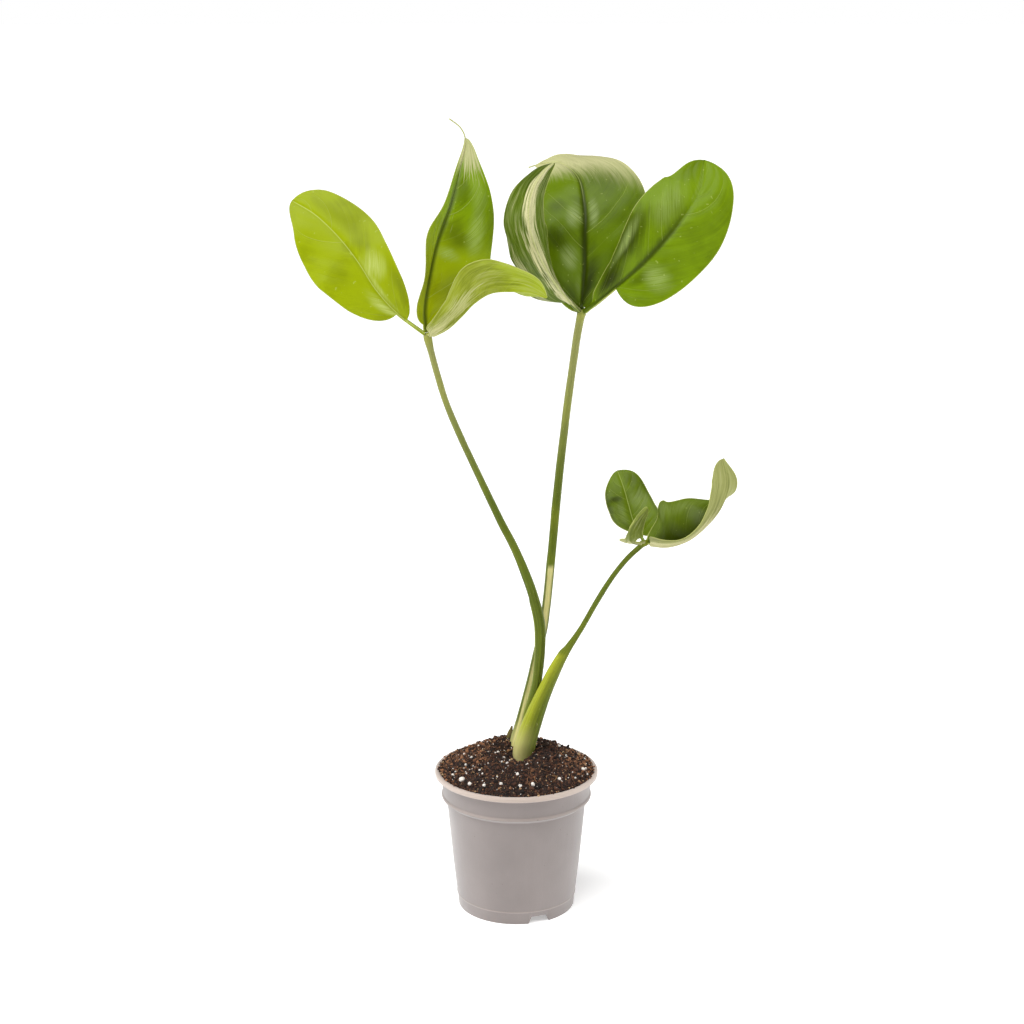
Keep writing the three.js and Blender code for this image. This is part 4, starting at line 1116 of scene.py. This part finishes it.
def blade_steps(shape, rings):
    """Length fractions of the rings: close together where either half begins and where the blade ends."""
    end = shape.get("end", 1)
    first = min(shape["left"][0], shape["right"][0])
    ease = 0.5 - 0.5 * np.cos(np.linspace(0, np.pi, rings))
    steps = [np.linspace(0, first, 10), first + (end - first) * ease]
    late = max(shape["left"][0], shape["right"][0])
    if late > first:
        steps.append(late + (end - late) * (ease[: rings // 2] * 0.5))
    if end < 1:
        steps.append(np.linspace(end, 1, 24))
    return np.unique(np.round(np.concatenate(steps), 6))


def blade_stations(columns):
    """Places across the blade from -1 to 1, closer together at the midrib and at the margins."""
    s = np.linspace(0, 1, columns)
    half = 0.5 * s + 0.35 * s ** 2.2 + 0.15 * np.sin(s * np.pi / 2)
    half = half / half[-1]
    return np.concatenate([-half[:0:-1], half])


def build_leaflet(shape, leaf, rings=130, columns=25):
    """A folded and curled blade as a closed skin. Each half is an arc that leaves the midrib at the
    fold's angle and turns by the curl's. The skin dips along the midrib and the side veins, swells
    between them, and is wavy at its margin. Below, a keel follows the midrib and runs out into the round
    stalk."""
    look = shape["look"]
    end = shape.get("end", 1)
    u = blade_steps(shape, rings)
    s = blade_stations(columns)
    t, length, centre, along, up, across = directions(shape["midrib"], shape["face"], u)
    fold, curl = np.radians(trace(shape["fold"], t)), np.radians(trace(shape["curl"], t))
    stem = shape["stalk"] + (TIP_RADIUS - shape["stalk"]) * np.minimum(1, u * 1.3)
    widths = np.stack([half_width(shape["left"], end, u), half_width(shape["right"], end, u)], 1)
    rounded = 1 - smooth((widths.max(axis=1) - stem) / (3 * stem))
    h = (s >= 0).astype(int)
    q, sign = np.abs(s)[None], np.sign(s)[None]
    width = np.maximum(widths[:, h], stem[:, None])
    lean, bend = fold[:, h], curl[:, h]
    chord = width * q * np.sinc(bend * q / 2 / np.pi)
    soft = 0.9
    rise = np.sqrt(chord ** 2 + soft ** 2) - soft
    swell, waves, phase = shape["ripple"]
    wave = swell * np.sin(2 * np.pi * waves * u[:, None] + phase + 1.7 * h[None]) * q ** 2
    lobe = np.array([shape["left"][1], shape["right"][1]])[h][None]
    back = np.where(widths[:, h] > 0, -lobe * (1 - u[:, None]) ** 4 * q ** 1.5, 0)
    angle = lean + bend * q / 2
    fine_wave = 0.35 * hills(u[:, None] * length / 7, h[None] * 9.0, 1, look["seed"]) * q ** 3
    lift = (wave + fine_wave) * np.minimum(1, widths[:, h] / 10)
    point = (centre[:, None] + across[:, None] * (sign * chord * np.cos(angle))[..., None]
             + up[:, None] * (rise * np.sin(angle) + lift)[..., None] + along[:, None] * back[..., None])
    tilt = lean + bend * q
    flat = np.tanh(sign * chord / soft)
    normal = unit(up[:, None] * np.cos(tilt)[..., None] - across[:, None] * (flat * np.sin(tilt))[...,
                                                                                                  None])
    reach = width * q
    edge = width * (1 - q)
    vein = (u[:, None] - VEIN_BOW * q ** 1.3) * look["veins"] + 0.37 * h[None]
    near = np.abs(vein - np.floor(vein) - 0.5)
    fade = smooth(reach, 1.0, 6.0) * smooth(edge, 0.5, 7.0)
    quilt = look["quilt"] * leaf.quilt * (np.sin(np.pi * np.clip(near * 2, 0, 1) / 2) - 0.5) * fade
    groove_depth = (0.42 + 0.35 * look.get("groove", 0)) * leaf.vein_depth
    groove = -groove_depth * np.exp(-(reach / (0.9 + 0.02 * width)) ** 2)
    broad = 0.9 * hills(u[:, None] * length / 21, s[None] * 1.7 + 3, 1, look["seed"] + 40)
    broad = broad * smooth(reach, 0, 9) * smooth(edge, 0, 12)
    relief = (quilt + groove + broad) * (1 - rounded[:, None]) * smooth(widths[:, h], 1, 9)
    keel = 1.2 * stem[:, None] * np.exp(-(reach / np.maximum(0.8, stem[:, None] * 0.9)) ** 2)
    thick = BLADE + (MARGIN - BLADE) * q
    top = point + normal * relief[..., None]
    below = point + normal * (relief - thick - keel)[..., None]
    ring_angle = np.pi * (1 - (np.arange(len(s)) + 0.5) / len(s))
    circle = (across[:, None] * (stem[:, None] * np.cos(ring_angle))[..., None])
    crown = up[:, None] * (stem[:, None] * np.sin(ring_angle))[..., None]
    share = rounded[:, None, None]
    top = top * (1 - share) + (centre[:, None] + circle + crown) * share
    below = below * (1 - share) + (centre[:, None] + circle - crown) * share
    skin = np.concatenate([top, below[:, ::-1]], axis=1)
    both = lambda rows: np.concatenate([rows, rows[..., ::-1], rows[..., :1]], axis=-1)
    maps = [np.stack(np.broadcast_arrays(u[:, None], 0.5 + 0.5 * both(s)[None]), -1),
            np.stack([both(reach), both(edge)], -1) / 100]
    slots = np.concatenate([np.zeros(len(s), int), np.ones(len(s) - 1, int), [0]])
    mesh = Shape()
    ids = mesh.grid(skin, around=True, maps=maps, slot=slots)
    mesh.fan(ids[0][::-1], centre[0] - along[0] * 0.3, maps=2, at=(0, 0.5))
    mesh.fan(ids[-1], centre[-1] + along[-1] * 0.2, maps=2, at=(1, 0.5))
    materials = [leaf_paint(shape, leaf, length, under) for under in (False, True)]
    mesh.piece(shape["name"].replace("leaflet", "blade"), materials, look["family"] + "_leaf",
               map_names=("Blade", "Reach"), sharp=70, replaces=[shape["name"]])


def leaf_paint(shape, leaf, length, under):
    """A waxy leaf skin. Fine streaks and faint side veins run out from the midrib towards the tip, the
    midrib is a groove with painted shade and a thin pale line in it, the margin a paler thread, and patches
    of painted highlight and painted shade lie on the upper side. Pale bands along the blade are cream
    streaks on the underside and painted reflection on the upper side. The underside is duller and has its
    own colour."""
    look = shape["look"]
    word = "underside" if under else "upper side"
    title = shape["name"].replace("_leaflet", "").replace("_", " ").capitalize()
    paint = Paint(f"{title} {word}", IOR=1.42, Coat_Weight=0.0 if under else leaf.wax, Coat_Roughness=0.2,
                  Coat_IOR=1.4, Specular_IOR_Level=0.1 if under else 0.13)
    base = dim(getattr(leaf, look.get("colour", look["family"]) + "_colour"), look.get("shade", 1.0))
    body = srgb(*look["back"]) if under else base
    u, v = paint.surface("Blade")
    reach, edge = [part * 100 for part in paint.surface("Reach")]
    place = paint.place()
    signed = v * 2 - 1
    q = abs(signed)
    side = v.above(0.5)
    run = u - (q ** 1.3) * (VEIN_BOW * (1.4 if under else 1.0))
    seed = look["seed"] * 3.1
    fibre = paint.noise(paint.vector(run * (length / 1.0), q * 2.2, side * 9 + seed), 1, 3, 0.6)
    streak = paint.noise(paint.vector(run * (length / 5.0), q * 1.6, side * 5 + seed), 1, 3, 0.55)
    strand = paint.noise(paint.vector(u * (length / 26), signed * 9, seed), 1, 3, 0.6)
    hair = paint.noise(paint.vector(u * (length / 22), signed * 34, seed + 7), 1, 2, 0.6)
    patch = paint.noise(place, 24, 3, 0.5)
    mottle = paint.noise(place, 210, 3, 0.6)
    light = body if under else (body[0] * 1.18, body[1] * 1.24, body[2])
    if under and "tip" in look:
        light = paint.blend(u.step(0.55, 0.95), body, srgb(*look["tip"]))
    shade = patch.step(0.28, 0.72) * 0.62 + 0.62 - (1 - fibre.step(0.3, 0.5)) * (0.2 if under else 0.13)
    shade = shade + mottle.step(0.45, 0.75) * 0.06 + streak.step(0.45, 0.8) * 0.16
    colour = paint.blend(shade, dim(body, 0.2), light)
    if under:
        worn = toward(body, leaf.cream_colour, 0.45)
        colour = paint.blend(strand.step(0.42, 0.74) * 0.45 + hair.step(0.5, 0.8) * 0.25, colour, worn)
        sparse = 1 - (strand * 0.6 + hair * 0.4).step(0.34, 0.52)
        colour = paint.blend(sparse * 0.5, colour, dim(body, 0.35))
    else:
        young = paint.blend(shade, dim(leaf.lime_colour, 0.2), leaf.lime_colour)
        colour = paint.blend((1 - u.step(0.1, 0.65)) * look.get("young", 0), colour, young)
        # Painted highlight colour: the body plus a share of the sheen colour, standing for light reflected
        # off the blade.
        sheen_tint = tuple(a + look.get("sheen", 0.3) * b for a, b in zip(body, leaf.frost_colour))
        # Round patches of painted shade (strength below 0) and painted highlight (strength above 0).
        for along, across, long, wide, strength in look.get("shade_spots", []) + look.get("sheen_spots", []):
            far = (((u - along) / long) ** 2 + ((signed - across) / wide) ** 2) ** 0.5
            spot = 1 - (far + (streak - 0.5) * 0.5 + (patch - 0.5) * 0.5).step(0.1, 1.1)
            if strength < 0:
                colour = paint.blend(spot * -strength, colour, dim(body, 0.22))
            else:
                colour = paint.blend(spot * strength * (0.35 + 0.65 * fibre.step(0.35, 0.65)), colour, sheen_tint)
        specks = paint.noise(place, 480, 0).step(0.8, 0.84)
        colour = paint.blend(specks * 0.28, colour, leaf.vein_colour)
    vein = run * look["veins"] + side * 0.37 + (mottle - 0.5) * 0.05
    gap = abs(vein.fraction() - 0.5)
    each = paint.noise(paint.vector((vein - vein.fraction()) * 3.7 + side * 11 + seed, 0.5, 0.5), 1, 0)
    line = (1 - gap.step(0.004, 0.025)) * each.step(0.4, 0.62)
    line = line * (1 - q.step(0.6, 0.98)) * reach.step(0.3, 1.2)
    colour = paint.blend(line * leaf.vein_strength, colour, toward(body, leaf.vein_colour, 0.6))
    # Painted shade inside the fold, darkest at the midrib.
    if "deep" in look and not under:
        colour = paint.blend((1 - q.step(0.05, 0.8)) * look["deep"], colour, dim(body, 0.3))
    # Pale bands: cream streaks on the underside, painted reflection of light on the upper side.
    streak_and_sheen_rows = look.get("under" if under else "upper", [])
    for middle, spread, fade_from, fade_to, strength, slant, fray in streak_and_sheen_rows:
        band = 1 - (abs(signed - middle) / spread).step(0.0, 1.0)
        here = u + signed * slant
        rise = here.step(min(fade_from, fade_to), max(fade_from, fade_to))
        if fade_from > fade_to:
            rise = 1 - rise
        mask = band * rise * (1 + 0.3 * fray) - 0.3 * fray
        mask = mask + (strand - 0.5) * fray + (hair - 0.5) * (1.7 * fray)
        mask = mask.step(0.0, 0.75)
        dull = toward(body, leaf.cream_colour, 0.85 - 0.35 * min(fray, 1))
        cream = paint.blend((hair * 0.6 + fibre * 0.4).step(0.34, 0.58), dull, leaf.cream_colour)
        colour = paint.blend(mask * strength, colour, cream)
    groove = look.get("groove", 0.25)
    shadow = (1 - reach.step(0.2, 2.6)) * (1 - u.step(0.55, 0.8))
    colour = paint.blend(shadow * (0.6 * groove), colour, dim(body, 0.25))
    rib = (1 - reach.step(0.1, 0.42)) * look.get("rib", 0.35 if under else 0)
    if groove > 1:
        rib = rib * u.step(0.45, 0.6)
    colour = paint.blend(rib * 0.9, colour, toward(body, leaf.vein_colour, 0.8))
    margin = 1 - edge.step(0.15, 0.6)
    colour = paint.blend(margin * 0.75, colour, toward(leaf.lime_colour, leaf.cream_colour, 0.45))
    rough = leaf.gloss + (0.14 if under else 0.0) + (patch - 0.5) * 0.12 + fibre * 0.07
    bump = paint.bump(mottle, 0.0004, 0.2, paint.bump(fibre, 0.00025, 0.3))
    bump = paint.bump(line, 0.00025, 0.5, bump)
    return paint.finish(Base_Color=colour, Roughness=rough, Normal=bump)


# Settings

def colour_setting(name, description, default):
    return bpy.props.FloatVectorProperty(name=name, description=description, default=default, size=3, min=0,
                                         max=1, subtype="COLOR")


def number_setting(name, description, default, **more):
    return bpy.props.FloatProperty(name=name, description=description, default=default, min=0, **more)


def length_setting(name, description, default):
    return number_setting(name, description, default, unit="LENGTH", subtype="DISTANCE", precision=4)


def count_setting(name, description, default, least=1):
    return bpy.props.IntProperty(name=name, description=description, default=default, min=least)


POT_LOW, POT_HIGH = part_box("pot")


class PlantPotSettings(bpy.types.PropertyGroup):
    """Sizes and colours of the pot."""
    rim_radius: length_setting("Rim radius", "Outer radius of the lip", float(POT_HIGH[0] - POT_LOW[0]) / 2)
    height: length_setting("Height", "Height of the pot", float(POT_HIGH[2] - POT_LOW[2]))
    wall: length_setting("Wall", "Thickness of the wall and the floor", 1.1 * MM)
    body_colour: colour_setting("Body", "Colour of the wall", srgb(132, 123, 120))
    rim_colour: colour_setting("Lip", "Colour of the lip and the ridges", srgb(184, 168, 157))


class PlantMixSettings(bpy.types.PropertyGroup):
    """Amounts, sizes and colours of the potting mix."""
    crumbs: count_setting("Crumbs", "Number of loose crumbs", 8000, least=0)
    crumb_size: length_setting("Crumb size", "Usual width of a crumb", 1.0 * MM)
    fibres: count_setting("Fibres", "Number of strands", 260)
    grit: count_setting("Grit", "Number of small white grains", 420)
    dark_colour: colour_setting("Hollows", "Colour of the moist hollows", srgb(26, 16, 11))
    peat_colour: colour_setting("Peat", "Colour of most crumbs", srgb(66, 41, 29))
    fibre_colour: colour_setting("Fibre", "Colour of dry fibres and light crumbs", srgb(150, 104, 72))
    perlite_colour: colour_setting("Perlite", "Colour of the white grains", srgb(236, 230, 222))


class PlantStemSettings(bpy.types.PropertyGroup):
    """Colours of the stalks."""
    stalk_colour: colour_setting("Stalk", "Colour of the bare stalk", srgb(87, 100, 16))
    sheath_colour: colour_setting("Sheath", "Colour of the sheath and the groove", srgb(156, 162, 34))
    foot_colour: colour_setting("Foot", "Colour where the stalk leaves the mix", srgb(212, 204, 140))


class PlantLeafSettings(bpy.types.PropertyGroup):
    """Colours and surface of the leaflets."""
    lime_colour: colour_setting("Young leaf", "Colour of the bright left leaflets", srgb(150, 162, 2))
    green_colour: colour_setting("Grown leaf", "Colour of the middle leaflets", srgb(88, 108, 2))
    dark_colour: colour_setting("Right leaf", "Colour of the right leaflets", srgb(82, 98, 8))
    # Also the colour of the painted reflection bands on the upper side of some blades.
    cream_colour: colour_setting("Cream", "Colour of the pale streaks", srgb(200, 196, 148))
    # The colour added to the blade as painted highlight on the sheen patches.
    frost_colour: colour_setting("Highlights", "Colour of the highlighted patches", srgb(196, 206, 158))
    vein_colour: colour_setting("Vein", "Colour of the midrib and the side veins", srgb(190, 202, 110))
    gloss: number_setting("Roughness", "Roughness of the upper side", 0.34, max=1, subtype="FACTOR")
    wax: number_setting("Wax", "Strength of the waxy coat", 0.05, max=1, subtype="FACTOR")
    vein_strength: number_setting("Side veins", "How much the side veins show", 0.45, max=1,
                                  subtype="FACTOR")
    vein_depth: number_setting("Midrib depth", "Depth of the midrib's groove against usual", 1.0, max=3)
    quilt: number_setting("Swelling", "Height of the blade between veins against usual", 1.0, max=4)


class PlantStageSettings(bpy.types.PropertyGroup):
    """Floor, lights and camera."""
    floor_colour: colour_setting("Floor", "Colour of the floor", (0.9, 0.9, 0.9))
    sun: number_setting("Main light", "Strength of the wide light from above left", 2.8)
    front_power: number_setting("Front light", "Power of the light in front", 2, unit="POWER")
    side_power: number_setting("Side lights", "Power of each light at the sides", 12, unit="POWER")
    surroundings: number_setting("Surroundings", "Brightness high above the floor", 0.2)


# Operators

class PLANT_OT_pot(bpy.types.Operator):
    """Build the moulded pot"""
    bl_idname = "plant.pot"
    bl_label = "Pot"

    def execute(self, context):
        clear("moulded_pot")
        build_pot(context.scene.plant_pot)
        return {"FINISHED"}


class PLANT_OT_mix(bpy.types.Operator):
    """Build the potting mix with its crumbs, fibres and perlite"""
    bl_idname = "plant.mix"
    bl_label = "Potting mix"

    def execute(self, context):
        mix = context.scene.plant_mix
        clear("peat_heap", "peat_crumbs", "peat_fibres", "perlite_grains", "perlite_grit")
        build_mix(mix)
        build_crumbs(mix)
        build_fibres(mix)
        build_perlite(mix)
        return {"FINISHED"}


class PLANT_OT_stalks(bpy.types.Operator):
    """Build the three leaf stalks"""
    bl_idname = "plant.stalks"
    bl_label = "Stalks"

    def execute(self, context):
        for name, rows, grooves, band in STALKS:
            clear(name + "_skin")
            build_stalk(name, rows, grooves, band, context.scene.plant_stems)
        return {"FINISHED"}


class PLANT_OT_scraps(bpy.types.Operator):
    """Build the withered sheath and the splinter, and finish the buried stem"""
    bl_idname = "plant.scraps"
    bl_label = "Scraps and roots"

    def execute(self, context):
        clear("withered_strip", "bark_splinter")
        dry = scrap_paint("Withered sheath", srgb(84, 72, 36), srgb(146, 134, 76), 300)
        bark = scrap_paint("Bark splinter", srgb(34, 24, 18), srgb(74, 54, 40), 500)
        build_scrap("withered_strip", "withered_sheath", WITHERED, dry, "dry_sheath", 0.22, 61)
        build_scrap("bark_splinter", "bark_sliver", SLIVER, bark, "bark", 0.15, 62)
        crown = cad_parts["root_crown"]
        crown.data.materials.clear()
        crown.data.materials.append(root_paint())
        return {"FINISHED"}


class PLANT_OT_leaflets(bpy.types.Operator):
    """Build the nine leaflets"""
    bl_idname = "plant.leaflets"
    bl_label = "Leaflets"

    def execute(self, context):
        for shape in LEAFLETS:
            clear(shape["name"].replace("leaflet", "blade"))
            build_leaflet(shape, context.scene.plant_leaves)
        return {"FINISHED"}


class PLANT_OT_stage(bpy.types.Operator):
    """Set the floor, the lights and the camera"""
    bl_idname = "plant.stage"
    bl_label = "Stage"

    def execute(self, context):
        build_stage(context.scene, context.scene.plant_stage)
        return {"FINISHED"}


def floor_paint(stage):
    """A matt pale surface, very faintly clouded, that glows a little so that it stays even."""
    paint = Paint("Pale floor", IOR=1.3, Emission_Strength=0.38)
    cloud = paint.noise(paint.place(), 3, 2, 0.5)
    colour = paint.blend(cloud, dim(stage.floor_colour, 0.985), stage.floor_colour)
    return paint.finish(Base_Color=colour, Roughness=0.9 + cloud * 0.05, Emission_Color=colour)


def build_floor(scene, stage):
    """A wide flat disc, which isn't part of the plant."""
    angles = np.arange(96) * 360 / 96
    shape = Shape()
    ids = shape.grid(polar(np.array(FLOOR_RADII)[:, None] / MM, angles[None], 0.0), around=True)
    shape.fan(ids[0][::-1], (0, 0, 0))
    faces = [tuple(int(i) for i in face[::-1]) for group in shape.faces for face in group]
    mesh = bpy.data.meshes.new("floor")
    mesh.from_pydata((np.concatenate(shape.points) * MM).tolist(), [], faces)
    mesh.materials.append(floor_paint(stage))
    made = bpy.data.objects.new("floor", mesh)
    scene.collection.objects.link(made)
    made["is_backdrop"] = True


def build_surroundings(scene, stage):
    """White light from round the horizon, dimmer from high above the floor and from the viewer's side."""
    scene.world = scene.world or bpy.data.worlds.new("Studio")
    sky = Nodes(scene.world)
    _, y, z = sky.parts(sky.node("ShaderNodeTexCoord"))
    high = 1 - z.step(0.03, 0.25) * (1 - stage.surroundings)
    front = y.step(-0.95, -0.45) * 0.55 + 0.45
    strength = front.largest(1 - z.step(0.01, 0.04)) * high
    glow = sky.node("ShaderNodeBackground", None, {"Color": (1.0, 1.0, 1.0), "Strength": strength})
    sky.end("ShaderNodeOutputWorld", glow)


def build_stage(scene, stage):
    """A wide pale floor under a pale horizon, one wide light from above left, softer ones, and the
    camera."""
    clear("floor", "main_light", "front_light", "left_light", "right_light", "view")
    scene.view_settings.view_transform = "Standard"
    build_floor(scene, stage)
    build_surroundings(scene, stage)
    sun = bpy.data.lights.new("main_light", "SUN")
    sun.energy, sun.angle = stage.sun, math.radians(50)
    place_light(scene, sun, (-0.5, -0.8, 2.3))
    soft_light(scene, "front_light", (0.5, -2.0, 1.2), 0.9, stage.front_power)
    soft_light(scene, "left_light", (-1.6, 0.0, 0.9), 0.8, stage.side_power)
    soft_light(scene, "right_light", (1.6, 0.0, 0.9), 0.8, stage.side_power)
    camera = bpy.data.cameras.new("view")
    camera.lens, camera.sensor_width = LENS, SENSOR
    camera.clip_start, camera.clip_end = 0.05, 200
    view = bpy.data.objects.new("view", camera)
    view.location = CAMERA_PLACE
    view.rotation_euler = (math.radians(CAMERA_TILT), 0, 0)
    scene.collection.objects.link(view)
    scene.camera = view


def place_light(scene, light, place):
    """Puts a light there, facing the middle of the plant."""
    made = bpy.data.objects.new(light.name, light)
    made.location = place
    target = np.array(LIGHT_TARGET) - np.array(place)
    yaw = math.atan2(target[1], target[0])
    drop = math.atan2(-target[2], math.hypot(target[0], target[1]))
    made.rotation_euler = (math.pi / 2 - drop, 0, yaw - math.pi / 2)
    scene.collection.objects.link(made)


def soft_light(scene, name, place, size, power):
    """A square light that faces the middle of the plant."""
    light = bpy.data.lights.new(name, "AREA")
    light.shape, light.size, light.energy = "SQUARE", size, power
    place_light(scene, light, place)


class PLANT_PT_panel(bpy.types.Panel):
    """Lists the plant's builders and their settings"""
    bl_idname = "PLANT_PT_panel"
    bl_label = "Potted Aroid"
    bl_space_type = "VIEW_3D"
    bl_region_type = "UI"
    bl_category = "Plant"

    def draw(self, context):
        for operator, group in PANEL_ROWS:
            box = self.layout.box()
            box.operator(operator.bl_idname)
            if group:
                settings = getattr(context.scene, group)
                for key in settings.__annotations__:
                    box.prop(settings, key)


OPERATORS = (PLANT_OT_pot, PLANT_OT_mix, PLANT_OT_stalks, PLANT_OT_scraps, PLANT_OT_leaflets,
             PLANT_OT_stage)
SETTING_NAMES = ("plant_pot", "plant_mix", "plant_stems", None, "plant_leaves", "plant_stage")
PANEL_ROWS = tuple(zip(OPERATORS, SETTING_NAMES))
GROUPS = {"plant_pot": PlantPotSettings, "plant_mix": PlantMixSettings, "plant_stems": PlantStemSettings,
          "plant_leaves": PlantLeafSettings, "plant_stage": PlantStageSettings}


def register():
    for group in GROUPS.values():
        bpy.utils.register_class(group)
    for operator in OPERATORS:
        bpy.utils.register_class(operator)
    bpy.utils.register_class(PLANT_PT_panel)
    for name, group in GROUPS.items():
        setattr(bpy.types.Scene, name, bpy.props.PointerProperty(type=group))


def unregister():
    for name in GROUPS:
        delattr(bpy.types.Scene, name)
    bpy.utils.unregister_class(PLANT_PT_panel)
    for operator in reversed(OPERATORS):
        bpy.utils.unregister_class(operator)
    for group in reversed(GROUPS.values()):
        bpy.utils.unregister_class(group)


def main():
    register()
    bpy.ops.plant.pot()
    bpy.ops.plant.mix()
    bpy.ops.plant.stalks()
    bpy.ops.plant.scraps()
    bpy.ops.plant.leaflets()
    bpy.ops.plant.stage()
    boxes = {"cad": CAD_BOX, "visual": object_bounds()}
    {key: [list(map(float, corner)) for corner in box] for key, box in boxes.items()}


if __name__ == "__main__":
    main()
